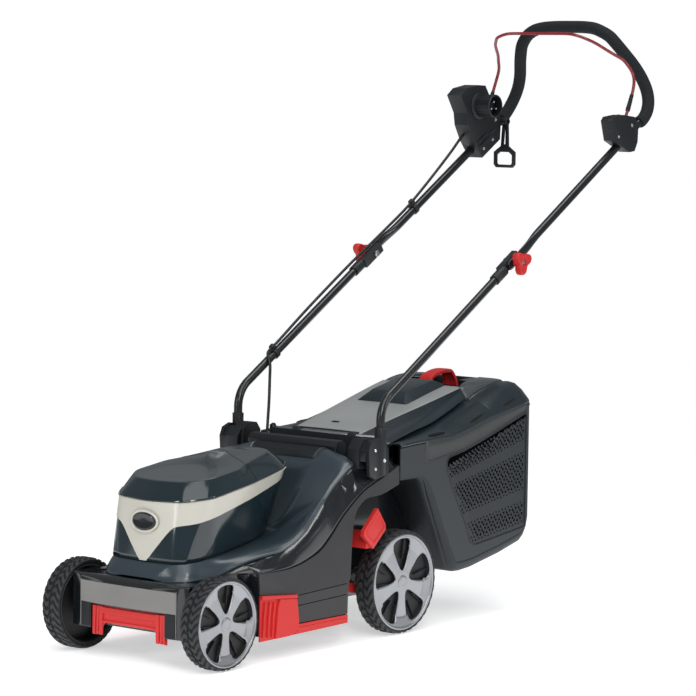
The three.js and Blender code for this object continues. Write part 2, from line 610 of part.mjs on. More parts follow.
function addLowerTubes() {
  const route = [[TUBE_X, BEND.y, SOCKET.bottom + 3.4], ...bendPoints(), handlePoint(TUBE_X, 436)];
  placePair('lower_tube', tube(route, TUBE_RADIUS), BLACK_PAINT);

  const sleeve = bar(handlePoint(TUBE_X, 402), handlePoint(TUBE_X, 440), 10.5, 16);
  const tongue = prism('x', handleStrip(430, 490, 9, 9), 160, 172.3);
  const bore = bar(handlePoint(TUBE_X, 400), handlePoint(TUBE_X, 436.4), TUBE_RADIUS + 0.4, 16);
  const trimmed = cut(sleeve, prism('x', handleStrip(436.6, 445, 12, 12), 172.3, 190));
  const boltHole = barX(150, 180, ...FOLD, 3.5);
  placePair('fold_collar', cut(join(trimmed, tongue), bore, boltHole), BLACK_MATTE);

  const bolt = join(barX(155, 159.7, ...FOLD, 7, 6), barX(159, 199, ...FOLD, 3, 12));
  placePair('fold_bolt', bolt, STEEL);
}

/** Three-lobed clamping knob. */
function addKnobs() {
  const [y, z] = FOLD;
  const outline = Array.from({ length: 24 }, (_, i) => {
    const angle = (2 * Math.PI * i) / 24;
    const radius = 19.5 + 5.5 * Math.cos(3 * (angle - 0.4));
    return [y + radius * Math.cos(angle), z + radius * Math.sin(angle)];
  });
  const body = join(prism('x', outline, 187, 202.5), barX(180.4, 188, y, z, 9));
  placePair('clamp_knob', cut(body, barX(179, 199.6, y, z, 3.4)), RED);
}

/** Half of the grip loop, from the left arm to the middle. */
const GRIP = [[171.7, 1259, 942], [172, 1276, 956], [168, 1290, 978], [160, 1295, 1003], [150, 1288, 1030],
  [140, 1273, 1055], [130, 1261, 1073], [120, 1250, 1090], [110, 1246, 1102], [100, 1243, 1112], [80, 1239, 1122],
  [60, 1244, 1127], [30, 1249, 1129], [0, 1250, 1129]];

const bothHalves = (half) => [...half, ...half.slice(0, -1).reverse().map(([x, y, z]) => [-x, y, z])];

function addUpperHandle() {
  const arms = bothHalves([handlePoint(TUBE_X, 553), handlePoint(TUBE_X, 760), handlePoint(TUBE_X, GRIP_START - 8),
    ...GRIP]);
  const strap = cut(prism('x', [...handleStrip(446, 566, 9, 9)], 173, 180), barX(170, 182, ...FOLD, 3.4));
  place('upper_tube', join(tube(arms, TUBE_RADIUS), strap, mirrored(strap)), BLACK_PAINT);
  const foam = [handlePoint(TUBE_X, GRIP_START - 8), ...GRIP];
  place('foam_grip', tube(bothHalves(foam), FOAM_RADIUS, 10, TUBE_RADIUS + 0.9), FOAM);
}

const BAIL = [[172, 1208, 960], [172, 1233, 1015], [165, 1234, 1039], [160, 1226, 1052],
  [155, 1217, 1063], [150, 1210, 1068], [140, 1192, 1078], [130, 1172, 1090], [120, 1161, 1098], [110, 1150, 1104],
  [100, 1147, 1108], [80, 1143, 1113], [60, 1150, 1114], [0, 1155, 1114]];

function addBail() {
  const { y, z } = BAIL_PIVOT;
  const rod = tube(bothHalves([[172, y, z], ...BAIL]), BAIL_RADIUS, 8);
  const pin = barX(165, 179, y, z, BAIL_RADIUS, 12);
  place('switch_bail', join(rod, pin, mirrored(pin)), BAIL_RED);
}

/** Room for the bail's end inside a box: its slot over the whole swing and its cross pin's hole. */
function bailRoom() {
  const { y, z } = BAIL_PIVOT;
  const spoke = (degrees) => {
    const angle = THREE.MathUtils.degToRad(degrees);
    return [y + 110 * Math.cos(angle), z + 110 * Math.sin(angle)];
  };
  const fan = prism('x', [[y - 6, z - 2], [y, z - 6], spoke(26), spoke(78)], 167.5, 176.5);
  return join(fan, barX(163.5, 180.5, y, z, BAIL_RADIUS + 0.4, 12));
}

const tubePassage = () => bar(handlePoint(TUBE_X, 780), handlePoint(TUBE_X, GRIP_START + 10), TUBE_RADIUS + 0.4, 20);

function addPivotBox() {
  const outline = [[1134, 943], [1141, 951], [1176, 955], [1215, 951], [1229, 937], [1227, 901], [1217, 883],
    [1200, 881], [1146, 904]];
  place('pivot_box', cut(prism('x', outline, 160, 186), tubePassage(), bailRoom()), BLACK_MATTE);
}

const INLET = { y: 1148, z: 967, radius: 23, inner: 108, outer: 152 };
const HOOK_PIVOT = [1233, 935];

function addSwitchBox() {
  const outline = [[1086, 988], [1109, 952], [1113, 928], [1131, 897], [1162, 861], [1180, 872], [1222, 898],
    [1224, 935], [1214, 952], [1193, 960], [1183, 988], [1169, 1008], [1145, 1009], [1105, 1002]];
  const housing = prism('x', outline, 150.3, 186);
  const ear = prism('x', [[1216, 925], [1236, 926], [1239, 935], [1236, 944], [1216, 945]], 156, 161);
  const hookPin = barX(145, 158, ...HOOK_PIVOT, 3, 12);
  const buttonHole = barX(178, 190, 1140, 975, 7.4, 16);
  const box = cut(join(housing, ear), tubePassage(), bailRoom(), buttonHole);
  place('switch_box', mirrored(join(box, hookPin)), BLACK_MATTE);

  const barrel = cut(barX(INLET.inner, INLET.outer - 2, INLET.y, INLET.z, INLET.radius, 28),
    barX(INLET.inner - 1, INLET.outer - 6, INLET.y, INLET.z, INLET.radius - 3, 28));
  const contacts = [[0, 10], [-9, -5], [9, -5]].map(([dy, dz]) => (
    barX(INLET.inner + 12, INLET.outer - 5, INLET.y + dy, INLET.z + dz, 2.4, 10)));
  place('power_inlet', mirrored(join(barrel, ...contacts)), BLACK_MATTE);
  place('release_button', mirrored(join(barX(181.5, 190, 1140, 975, 7, 16))), RED);
}

/** Flat cord hook that hangs from a pin under the switch box. */
function addCordHook() {
  const [y, z] = HOOK_PIVOT;
  const [x, y0, y1] = [-146, y - 3, y + 3];
  const slotted = (outline, hole) => cut(prism('y', outline, y0, y1), prism('y', hole, y0 - 1, y1 + 1));
  const loop = slotted([[x - 26, 872], [x - 26, 846], [x - 20, 840], [x + 20, 840], [x + 26, 846], [x + 26, 872],
    [x + 9, 884], [x - 9, 884]], [[x - 20, 866], [x - 20, 849], [x - 17, 846], [x + 17, 846], [x + 20, 849],
    [x + 20, 866], [x + 12, 872], [x - 12, 872]]);
  const stem = slotted([[x - 9, 880], [x + 9, 880], [x + 7, z - 2], [x - 5, z - 2]],
    [[x - 4, 888], [x + 3, 888], [x + 3, 918], [x - 1, 922]]);
  const eye = cut(join(loop, stem, barX(x - 5, x + 7, y, z, 7, 16)), barX(x - 9, x + 8, y, z, 3.4, 12));
  place('cord_hook', eye, BLACK_MATTE);
}

/** Supply cable from the switch box along the right-hand tubes into the deck, and its two clips. */
function addCable() {
  const above = (along, height, x = -TUBE_X) => handlePoint(x, along, height);
  const upper = smooth([above(839.2, 40.3, -172), above(825, 38.6, -172), above(790, 33, -171.6),
    above(739, 26.8), above(684, 21), above(626, 16.2), above(580, 15), above(500, 16.5)], 20);
  place('cable_upper', tube(upper, CABLE_RADIUS, 8), BLACK_MATTE);
  const lower = smooth([above(485, 16.8), above(400, 19), above(250, 18), above(150, 14.3), above(124, 14),
    above(104, 14, -169), [-158, 508, 480], [-155, 504, 450], [-151, 498, 410], [-146, 488, 360],
    [-143, 482, 325]], 32);
  place('cable_lower', tube(lower, CABLE_RADIUS, 8), BLACK_MATTE);
  const clip = (along, lift) => {
    const ring = bar(above(along - 5, 0), above(along + 5, 0), 11, 16);
    const loop = bar(above(along - 5, lift), above(along + 5, lift), 6.5, 12);
    const tubeRoom = bar(above(along - 6, 0), above(along + 6, 0), TUBE_RADIUS + 0.4, 16);
    const cableRoom = bar(above(along - 6, lift), above(along + 6, lift), 4.2, 12);
    return cut(join(ring, loop), tubeRoom, cableRoom);
  };
  place('cable_clip_upper', clip(626, 16), BLACK_MATTE);
  place('cable_clip_lower', clip(124, 14), BLACK_MATTE);
}

// ---------------------------------------------------------------- grass catcher and rear flap

/** Flap, front to back: y, half width and height of its flat top, half width and height of its skirt. */
const FLAP = [[488, 78, 367, 141, 350], [586, 83, 391, 130, 369], [650, 88, 406, 124, 380],
  [732, 93, 425.7, 115, 404], [772, 94, 435, 110, 416]];
const HINGE_KNUCKLES = [[58, 76], [-76, -58]];

function addRearFlap() {
  const rings = FLAP.map(([y, topX, flapZ, skirtX, skirtZ]) => [[-skirtX, y, skirtZ], [-topX, y, flapZ],
    [topX, y, flapZ], [skirtX, y, skirtZ], [skirtX - 5, y, skirtZ], [topX - 1, y, flapZ - 4],
    [-topX + 1, y, flapZ - 4], [-skirtX + 5, y, skirtZ]]);
  const hump = loft([[[-64, 650, 404], [64, 650, 404], [64, 650, 405], [-64, 650, 405]],
    [[-62, 672, 409], [62, 672, 409], [40, 672, 428], [-40, 672, 428]],
    [[-62, 756, 429], [62, 756, 429], [43, 756, 445], [-43, 756, 445]],
    [[-60, 771, 432], [60, 771, 432], [56, 771, 437], [-56, 771, 437]]]);
  const knuckles = HINGE_KNUCKLES.map(([x0, x1]) => barX(x0, x1, FLAP_HINGE.y, FLAP_HINGE.z, 7.5, 16));
  const arm = [[484, 358], [497, 364], [497, 368], [484, 369]];
  const arms = HINGE_KNUCKLES.map(([x0, x1]) => prism('x', arm, x0, x1));
  const bore = barX(-200, 200, FLAP_HINGE.y, FLAP_HINGE.z, 4.5, 16);
  place('rear_flap', cut(join(loft(rings), hump, ...knuckles, ...arms), bore), PETROL);
  place('flap_rod', barX(-129, 129, FLAP_HINGE.y, FLAP_HINGE.z, 4, 14), STEEL);
}

/** Lid line of the catcher at its sides, front to back. */
const LID_LINE = [[497, 348], [545, 351], [600, 353], [650, 354], [695, 363], [772, 382], [901, 404]];

/** Catcher lid, front to back: y, crown half width and height, half width and height of its fold. */
const LID = [[497, 74, 360.5, 134, 349], [545, 77, 373, 130, 354], [600, 80, 386, 124, 364], [650, 84, 398, 118, 374],
  [695, 88, 409, 112, 386], [772, 90, 428.5, 104, 408], [784, 90, 434, 110, 419], [800, 92, 439, 113, 425],
  [850, 94, 442, 116, 436], [880, 92, 442, 112, 440], [895, 90, 441.5, 104, 440], [901, 86, 437, 100, 435]];
/** How far the lid's side swells out between its fold and its edge, front and rear. */
const LID_SWELL = { fromY: 690, toY: 885, most: 10 };

const TRAY_Z = 424;

/** Catcher: basket with its mouth, lid with the recess for the hand, and the red bow over the recess. */
function addCatcher() {
  const top = LID_LINE.map(([y, z]) => [y, z - 1]);
  const outline = [...top.slice().reverse(), [495, 286], [560, 286], [580, 258], [657, 104], [672, 96],
    [690, 96], [723, 99], [813, 116], [882, 134], [894, 147], [901, 165]];
  const inside = [[490, 420], [490, 280], [561.5, 289], [583, 259.5], [660, 106], [674, 99.5], [690, 99.3],
    [722, 102.3], [812, 119.3], [880, 137], [891, 149], [898, 166], [898, 440]];
  const mouth = prism('x', [[540, 284], [560, 240], [615, 165], [690, 165], [600, 285]], -100, 100);
  const plan = prism('z', mirrorOutline([[166, 490], [170, 560], [170, 884], [160, 901.5]]), 90, 460);
  const planInside = prism('z', mirrorOutline([[163, 480], [167, 560], [167, 882], [157, 898.5]]), 80, 440);
  const bag = cut(prism('x', outline, -175, 175).intersect(plan),
    prism('x', inside, -172, 172).intersect(planInside), mouth);
  place('catcher_basket', bag, BLACK_MATTE);

  const sideZ = (y) => {
    const i = Math.max(1, LID_LINE.findIndex(([lineY]) => lineY >= y));
    const [[y0, z0], [y1, z1]] = [LID_LINE[i - 1], LID_LINE[i]];
    return z0 + ((z1 - z0) * (y - y0)) / (y1 - y0);
  };
  const ring = ([y, crownX, crownZ, foldX, foldZ], drop) => {
    const share = Math.min(1, Math.max(0, (y - LID_SWELL.fromY) / (LID_SWELL.toY - LID_SWELL.fromY)));
    const edgeZ = sideZ(y) + 0.5;
    const swellZ = foldZ + ((edgeZ - foldZ) * (148 - foldX)) / (169 - foldX) + LID_SWELL.most * share;
    const half = [[crownX, crownZ], [foldX, foldZ], [148, swellZ], [169, edgeZ]];
    return [...half.slice().reverse().map(([x, z]) => [-x, z]), ...half].map(([x, z]) => [x, y, z - drop]);
  };
  const solid = (drop) => loft(LID.map((row) => {
    const upper = ring(row, drop);
    const base = sideZ(row[0]) - 60;
    return [...upper, [169, row[0], base], [-169, row[0], base]];
  }));
  const under = prism('x', [...LID_LINE, [930, 410], [930, 200], [470, 200], [470, 347]], -180, 180);
  const hollow = loft(LID.map((row, i) => {
    const y = i === 0 ? 480 : i === LID.length - 1 ? 897.5 : row[0];
    const base = sideZ(row[0]) - 70;
    const points = ring(row, 3.2).map(([x, , z]) => [x * 0.985, y, z]);
    return [...points, [166.5, y, base], [-166.5, y, base]];
  }));
  const recess = prism('z', mirrorOutline([[86, 778], [79, 800], [65, 850], [56, 882]]), TRAY_Z, 470);
  const tray = prism('z', mirrorOutline([[90, 774], [83, 800], [69, 852], [60, 886]]), TRAY_Z - 5, 436);
  const shell = cut(solid(0).intersect(plan), under, hollow);
  place('catcher_lid', cut(join(shell, tray.intersect(solid(1))), recess), PETROL);

  const footZ0 = TRAY_Z + GAP;
  const grip = prism('x', [[783, footZ0], [784, 441], [790, 451], [827, 459], [852, 459], [862, 453], [872, 440],
    [875, footZ0], [866, footZ0], [864, 438], [856, 448], [848, 451], [826, 451], [797, 445], [793, 439],
    [793, footZ0]], -15, 15);
  place('catcher_handle', grip, RED);
}

// ---------------------------------------------------------------- output

addRunningGear();
addHeightLever();
addDeckShell();
addDeckCover();
addCarryHandle();
addSidePanels();
addRedSkirts();
addFrontApron();
addHood();
addMotor();
addHandleBrackets();
addLowerTubes();
addKnobs();
addUpperHandle();
addBail();
addPivotBox();
addSwitchBox();
addCordHook();
addCable();
addRearFlap();
addCatcher();

// The exported frame has its origin under the middle of the whole machine.
const middle = new THREE.Box3().setFromObject(mower).getCenter(new THREE.Vector3());
mower.position.y = -middle.y;

const assembly = new THREE.Group();
assembly.add(mower);

export default assembly;
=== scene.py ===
"""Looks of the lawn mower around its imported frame. Lengths in this script are millimetres in the machine's
working frame (x = 0 on the centre line, y = 0 over the front axle, z = 0 on the ground); P() turns them into
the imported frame's metres."""

import math

import bmesh
import bpy
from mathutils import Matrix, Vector
from mathutils.bvhtree import BVHTree


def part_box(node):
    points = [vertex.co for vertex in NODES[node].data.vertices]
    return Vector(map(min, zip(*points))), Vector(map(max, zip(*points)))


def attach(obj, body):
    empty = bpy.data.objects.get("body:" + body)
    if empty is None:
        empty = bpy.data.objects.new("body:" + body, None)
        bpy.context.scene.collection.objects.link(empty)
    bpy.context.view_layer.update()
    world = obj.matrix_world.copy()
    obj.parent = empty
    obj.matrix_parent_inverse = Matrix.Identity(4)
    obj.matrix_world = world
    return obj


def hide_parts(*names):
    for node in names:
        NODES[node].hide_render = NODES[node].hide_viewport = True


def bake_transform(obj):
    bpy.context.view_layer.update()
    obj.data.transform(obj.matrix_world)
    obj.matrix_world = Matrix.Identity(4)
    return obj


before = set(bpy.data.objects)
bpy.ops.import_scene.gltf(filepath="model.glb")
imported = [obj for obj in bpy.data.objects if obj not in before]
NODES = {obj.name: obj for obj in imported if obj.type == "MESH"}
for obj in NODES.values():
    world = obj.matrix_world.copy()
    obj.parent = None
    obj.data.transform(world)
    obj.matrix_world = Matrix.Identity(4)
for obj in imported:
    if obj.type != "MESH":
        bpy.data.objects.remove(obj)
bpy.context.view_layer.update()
ROOT = "machine"
FRONT_AXLE_Y = sum(corner.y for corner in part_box("tyre_front_left")) / 2


def P(x, y, z):
    return Vector((x / 1000, y / 1000 + FRONT_AXLE_Y, z / 1000))


# ------------------------------------------------------------------ camera and light

AZIMUTH, ELEVATION, ROLL = math.radians(38.935), math.radians(4.965), math.radians(0.762)
CAMERA_DISTANCE = 6157.7
CAMERA_TARGET = (0, 547.4, 517.0)


def add_object(name, data):
    made = bpy.data.objects.new(name, data)
    bpy.context.collection.objects.link(made)
    return made


def add_camera():
    back = Vector((math.sin(AZIMUTH) * math.cos(ELEVATION), -math.cos(AZIMUTH) * math.cos(ELEVATION),
                   math.sin(ELEVATION)))
    right = Vector((math.cos(AZIMUTH), math.sin(AZIMUTH), 0))
    up = back.cross(right)
    right, up = (right * math.cos(ROLL) + up * math.sin(ROLL), up * math.cos(ROLL) - right * math.sin(ROLL))
    data = bpy.data.cameras.new("camera")
    data.sensor_width = 36
    data.lens = 169.6
    camera = add_object("camera", data)
    matrix = camera.matrix_world
    for column, axis in enumerate((right, up, back)):
        for row in range(3):
            matrix[row][column] = axis[row]
    matrix.translation = P(*CAMERA_TARGET) + back * CAMERA_DISTANCE / 1000
    camera.matrix_world = matrix
    data.clip_end = 50
    bpy.context.scene.camera = camera


def add_area_light(name, place, aim, power, width, height):
    data = bpy.data.lights.new(name, "AREA")
    data.shape = "RECTANGLE"
    data.size, data.size_y = width, height
    data.energy = power
    light = add_object(name, data)
    light.location = place
    light.rotation_euler = (Vector(aim) - Vector(place)).to_track_quat("-Z", "Y").to_euler()


def fill(node, **values):
    """Sets inputs of a shader node; an underscore in a name stands for a space."""
    for name, value in values.items():
        node.inputs[name.replace("_", " ")].default_value = value
    return node


WHITE = (1, 1, 1, 1)
SKY_TINT, SKY_STRENGTH = (0.93, 0.97, 1.0, 1), 0.24
FLOOR_HALF, FLOOR_DROP, FLOOR_GLOW = 2.6, 0.0005, 0.52


def add_studio():
    """White surroundings for the camera, dimmer ones for reflections, a soft sun and tall soft boxes."""
    world = bpy.data.worlds.new("studio")
    world.use_nodes = True
    tree = world.node_tree
    seen = fill(tree.nodes["Background"], Color=WHITE)
    lit = fill(tree.nodes.new("ShaderNodeBackground"), Color=SKY_TINT, Strength=SKY_STRENGTH)
    rays = tree.nodes.new("ShaderNodeLightPath")
    mix = tree.nodes.new("ShaderNodeMixShader")
    tree.links.new(rays.outputs["Is Camera Ray"], mix.inputs["Fac"])
    tree.links.new(lit.outputs["Background"], mix.inputs[1])
    tree.links.new(seen.outputs["Background"], mix.inputs[2])
    tree.links.new(mix.outputs["Shader"], tree.nodes["World Output"].inputs["Surface"])
    bpy.context.scene.world = world
    bpy.context.scene.view_settings.view_transform = "Standard"
    sun = bpy.data.lights.new("sun", "SUN")
    sun.energy = 1.0
    sun.angle = math.radians(50)
    add_object("sun", sun).rotation_euler = Vector((-0.45, 0.55, -1.0)).to_track_quat("-Z", "Y").to_euler()
    add_area_light("key", (2.2, -2.2, 1.7), (0, 0, 0.3), 20, 0.45, 1.3)
    add_area_light("front_strip", (-0.6, -3.0, 1.0), (0, -0.4, 0.25), 9, 0.25, 1.3)
    add_area_light("side_strip", (3.0, 0.9, 1.5), (0, 0.1, 0.35), 11, 0.3, 1.6)
    add_area_light("top_box", (0.2, 0.3, 3.2), (0, 0, 0.3), 22, 1.2, 1.8)
    mesh = bpy.data.meshes.new("floor")
    corners = [(x * FLOOR_HALF, y * FLOOR_HALF, 0) for x, y in ((-1, -1), (1, -1), (1, 1), (-1, 1))]
    mesh.from_pydata(corners, [], [(0, 1, 2, 3)])
    floor = add_object("floor", mesh)
    floor.location.z = -FLOOR_DROP
    paper = material("floor_paper", (0.93, 0.93, 0.93), 0.9, bump=0.0, spread=0.0)
    fill(paper.node_tree.nodes["Principled BSDF"], Emission_Color=WHITE, Emission_Strength=FLOOR_GLOW)
    floor.data.materials.append(paper)


# ------------------------------------------------------------------ materials


MOTTLE_SCALE = 6.0
GLOSS_RANGE = 0.05
BUMP_HEIGHT = 0.0004


def material(name, color, roughness, metallic=0.0, grain=900.0, bump=0.15, spread=0.12, coat=0.0,
             coat_roughness=0.08, edge_wear_and_highlight=0.0, specular=0.5):
    """A moulded or painted surface: fine grain, slow colour and gloss changes, and edges made paler, partly
    as wear and partly as painted highlight.
    """
    made = bpy.data.materials.new(name)
    made.use_nodes = True
    tree = made.node_tree
    join = tree.links.new
    shader = fill(tree.nodes["Principled BSDF"], Metallic=metallic, Specular_IOR_Level=specular,
                  Coat_Weight=coat,
                  Coat_Roughness=coat_roughness)
    place = tree.nodes.new("ShaderNodeTexCoord")

    def noise(scale, detail):
        node = fill(tree.nodes.new("ShaderNodeTexNoise"), Scale=scale, Detail=detail)
        join(place.outputs["Object"], node.inputs["Vector"])
        return node.outputs["Fac"]

    slow = noise(MOTTLE_SCALE, 3)
    fine = noise(grain, 2)
    ramp = tree.nodes.new("ShaderNodeValToRGB")
    for element, position, share in zip(ramp.color_ramp.elements, (0.3, 0.7), (1 - spread, 1 + spread)):
        element.position = position
        element.color = tuple(min(1, c * share) for c in color) + (1,)
    join(slow, ramp.inputs["Fac"])
    base = ramp.outputs["Color"]
    # Painted highlight and wear: convex edges, found by pointiness, are made paler, standing partly for wear
    # and partly for the light that edges catch.
    if edge_wear_and_highlight:
        geometry = tree.nodes.new("ShaderNodeNewGeometry")
        edge = fill(tree.nodes.new("ShaderNodeMapRange"), From_Min=0.53, From_Max=0.6, To_Max=edge_wear_and_highlight)
        join(geometry.outputs["Pointiness"], edge.inputs["Value"])
        mix = tree.nodes.new("ShaderNodeMix")
        mix.data_type = "RGBA"
        mix.inputs["B"].default_value = tuple(min(1, c * 1.8 + 0.06) for c in color) + (1,)
        join(edge.outputs["Result"], mix.inputs["Factor"])
        join(base, mix.inputs["A"])
        base = mix.outputs["Result"]
    join(base, shader.inputs["Base Color"])
    gloss = fill(tree.nodes.new("ShaderNodeMapRange"), To_Min=max(0.02, roughness - GLOSS_RANGE),
                 To_Max=min(1, roughness + GLOSS_RANGE))
    join(slow, gloss.inputs["Value"])
    join(gloss.outputs["Result"], shader.inputs["Roughness"])
    if bump:
        relief = fill(tree.nodes.new("ShaderNodeBump"), Strength=bump, Distance=BUMP_HEIGHT)
        join(fine, relief.inputs["Height"])
        join(relief.outputs["Normal"], shader.inputs["Normal"])
    return made


BLACK_GLOSS = material("black_gloss", (0.008, 0.010, 0.012), 0.16, bump=0.02, coat=0.5)
SLATE = material("slate", (0.030, 0.047, 0.059), 0.3, bump=0.03, coat=0.35, coat_roughness=0.15)
PETROL = material("petrol_gloss", (0.008, 0.020, 0.026), 0.12, bump=0.01, coat=0.6)
LID_PETROL = material("petrol_satin", (0.014, 0.024, 0.031), 0.3, bump=0.05, coat=0.2)
CAP_GREY = material("cap_grey", (0.062, 0.072, 0.078), 0.33, bump=0.05, coat=0.2)
STRIP_GREY = material("strip_grey", (0.30, 0.315, 0.31), 0.4, bump=0.1, coat=0.2)
BAND_GREY = material("band_grey", (0.036, 0.040, 0.041), 0.42, bump=0.12, edge_wear_and_highlight=0.15)
CREAM = material("cream_gloss", (0.62, 0.60, 0.53), 0.25, bump=0.01, spread=0.03, coat=0.3)
PANEL_GREY = material("panel_grey", (0.040, 0.040, 0.042), 0.55, bump=0.35, edge_wear_and_highlight=0.3,
                      specular=0.3)
APRON_GREY = material("apron_grey", (0.185, 0.178, 0.168), 0.3, bump=0.03, coat=0.3)
RED = material("red_plastic", (0.62, 0.028, 0.026), 0.42, bump=0.08, spread=0.06, edge_wear_and_highlight=0.2,
               specular=0.3)
BLACK_PLASTIC = material("black_plastic", (0.0065, 0.009, 0.011), 0.45, bump=0.3, edge_wear_and_highlight=0.3,
                         specular=0.35)
BAG_BLACK = material("bag_black", (0.019, 0.024, 0.028), 0.45, bump=0.25, edge_wear_and_highlight=0.2,
                     specular=0.35)
STEEL = material("steel", (0.5, 0.51, 0.53), 0.3, metallic=1.0, grain=400, bump=0.02)
BRIGHT_SCREW = material("bright_screw", (0.75, 0.76, 0.78), 0.2, metallic=1.0, bump=0.02)
TUBE_PAINT = material("tube_paint", (0.006, 0.008, 0.010), 0.28, bump=0.0, coat=0.4)
BAIL_PAINT = material("bail_paint", (0.24, 0.010, 0.016), 0.25, bump=0.03, coat=0.4)
TYRE = material("tyre_rubber", (0.013, 0.014, 0.016), 0.62, grain=700, bump=0.4, edge_wear_and_highlight=0.4,
                specular=0.3)
RIM = material("rim_silver", (0.35, 0.36, 0.38), 0.3, metallic=0.7, grain=1500, bump=0.03,
               coat=0.3)
RIM_DARK = material("rim_dark", (0.012, 0.012, 0.014), 0.5, bump=0.2)
FOAM = material("foam", (0.006, 0.009, 0.011), 0.85, grain=1600, bump=0.6)
CABLE = material("cable_jacket", (0.008, 0.009, 0.01), 0.4, bump=0.1)
# Painted shade: near-black for the shade inside grooves, split lines, vents and slots, laid on surfaces as
# thin strips.
SEAM_SHADE = material("seam_shadow", (0.002, 0.002, 0.003), 0.8, bump=0.1)


# ------------------------------------------------------------------ making pieces

MERGE_DISTANCE = 2e-5               # metres; points closer than this become one
EDGE_SEGMENTS, EDGE_ANGLE = 3, 35   # steps of a rounded edge, and the least angle that gets one


def thicken(made, thickness):
    """A wall behind the drawn skin; a negative thickness puts it in front."""
    wall = made.modifiers.new("thickness", "SOLIDIFY")
    wall.thickness = thickness / 1000
    wall.offset = -1


def round_edges(made, width, segments, angle):
    rounding = made.modifiers.new("rounding", "BEVEL")
    rounding.width = width / 1000
    rounding.segments = segments
    rounding.limit_method = "ANGLE"
    rounding.angle_limit = math.radians(angle)
    rounding.harden_normals = True


def piece(name, shape, look, body=ROOT, replaces=(), slot=None, smooth=30, bevel=0.0, merge=True, solid=0.0,
          loose=False):
    """A mesh piece from millimetre vertices, riding on a CAD body; loose drops the vertices no face uses."""
    vertices, faces = shape
    mesh = bpy.data.meshes.new(name)
    mesh.from_pydata([P(*v) for v in vertices], [], faces)
    work = bmesh.new()
    work.from_mesh(mesh)
    if merge:
        bmesh.ops.remove_doubles(work, verts=work.verts, dist=MERGE_DISTANCE)
    if loose:
        bmesh.ops.delete(work, geom=[v for v in work.verts if not v.link_faces], context="VERTS")
    bmesh.ops.recalc_face_normals(work, faces=work.faces)
    work.to_mesh(mesh)
    work.free()
    for polygon in mesh.polygons:
        polygon.use_smooth = True
    mesh.set_sharp_from_angle(angle=math.radians(smooth))
    made = add_object(name, mesh)
    mesh.materials.append(look)
    if solid:
        thicken(made, solid)
    if bevel:
        round_edges(made, bevel, EDGE_SEGMENTS, EDGE_ANGLE)
    if body:
        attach(made, body)
    if replaces:
        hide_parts(*replaces)
    return made


def soften(node, look, width=0.8, angle=32):
    """Keeps a CAD node, with its edges rounded and a finish of its own."""
    kept = NODES[node]
    kept.data.materials.clear()
    kept.data.materials.append(look)
    for polygon in kept.data.polygons:
        polygon.use_smooth = True
    weld = kept.modifiers.new("weld", "WELD")
    weld.merge_threshold = 1e-5
    flat = kept.modifiers.new("flat_faces", "DECIMATE")
    flat.decimate_type = "DISSOLVE"
    flat.angle_limit = math.radians(0.4)
    round_edges(kept, width, 2, angle)


def between(low, high, share):
    """The value that lies a share of the way from low to high."""
    return low + (high - low) * share


def grid_faces(rows, columns, wrap=False):
    faces = []
    for i in range(rows - 1):
        for j in range(columns if wrap else columns - 1):
            k = (j + 1) % columns
            faces.append((i * columns + j, i * columns + k, (i + 1) * columns + k, (i + 1) * columns + j))
    return faces


def sheet(rows):
    """Vertices and faces of an open skin over rows of equal point counts."""
    return [point for row in rows for point in row], grid_faces(len(rows), len(rows[0]))


def stack(rings, cap_ends=True):
    """Vertices and faces of a skin over rings of equal point counts."""
    count = len(rings[0])
    vertices = [point for ring in rings for point in ring]
    faces = grid_faces(len(rings), count, wrap=True)
    if cap_ends:
        faces.append(tuple(range(count))[::-1])
        faces.append(tuple(range(len(vertices) - count, len(vertices))))
    return vertices, faces


def ring_closed(shape, count):
    """The skin joined from its last ring back to its first."""
    vertices, faces = shape
    last = len(vertices) - count
    faces += [(last + i, last + (i + 1) % count, (i + 1) % count, i) for i in range(count)]
    return vertices, faces


def lathe_x(profile, y, z, segments=96, closed=True):
    """Rings round an axis along X from (x, radius) points."""
    shape = stack([circle(x, y, z, radius, segments) for x, radius in profile], cap_ends=False)
    return ring_closed(shape, segments) if closed else shape


def curve_through(points, per_span=6):
    """Points of a smooth curve through the given ones."""
    def blend(p0, p1, p2, p3, t):
        return tuple(0.5 * (2 * b + (c - a) * t + (2 * a - 5 * b + 4 * c - d) * t * t
                            + (3 * b - a - 3 * c + d) * t ** 3) for a, b, c, d in zip(p0, p1, p2, p3))
    padded = [tuple(2 * a - b for a, b in zip(points[0], points[1]))] + list(points)
    padded.append(tuple(2 * a - b for a, b in zip(points[-1], points[-2])))
    result = []
    for i in range(len(points) - 1):
        result += [blend(*padded[i:i + 4], step / per_span) for step in range(per_span)]
    return result + [tuple(points[-1])]


def height_on(line, y):
    """The second value of a line of (y, value) points, at y."""
    for (y0, z0), (y1, z1) in zip(line, line[1:]):
        if y <= y1:
            return z0 + (z1 - z0) * max(0, y - y0) / (y1 - y0)
    return line[-1][1]


def sweep(points, radius, sides=16, caps=True):
    """A round tube along points; radius may be one number or one for each point."""
    path = [Vector(p) for p in points]
    radii = radius if isinstance(radius, (list, tuple)) else [radius] * len(path)
    normal = None
    rings = []
    for i, centre in enumerate(path):
        tangent = (path[min(i + 1, len(path) - 1)] - path[max(i - 1, 0)]).normalized()
        if normal is None:
            seed = Vector((1, 0, 0)) if abs(tangent.x) < 0.9 else Vector((0, 0, 1))
            normal = tangent.cross(seed).normalized()
        normal = (normal - tangent * normal.dot(tangent)).normalized()
        side = tangent.cross(normal)
        rings.append([tuple(centre + (normal * math.cos(a) + side * math.sin(a)) * radii[i])
                      for a in (turn(k, sides) for k in range(sides))])
    return stack(rings, cap_ends=caps)


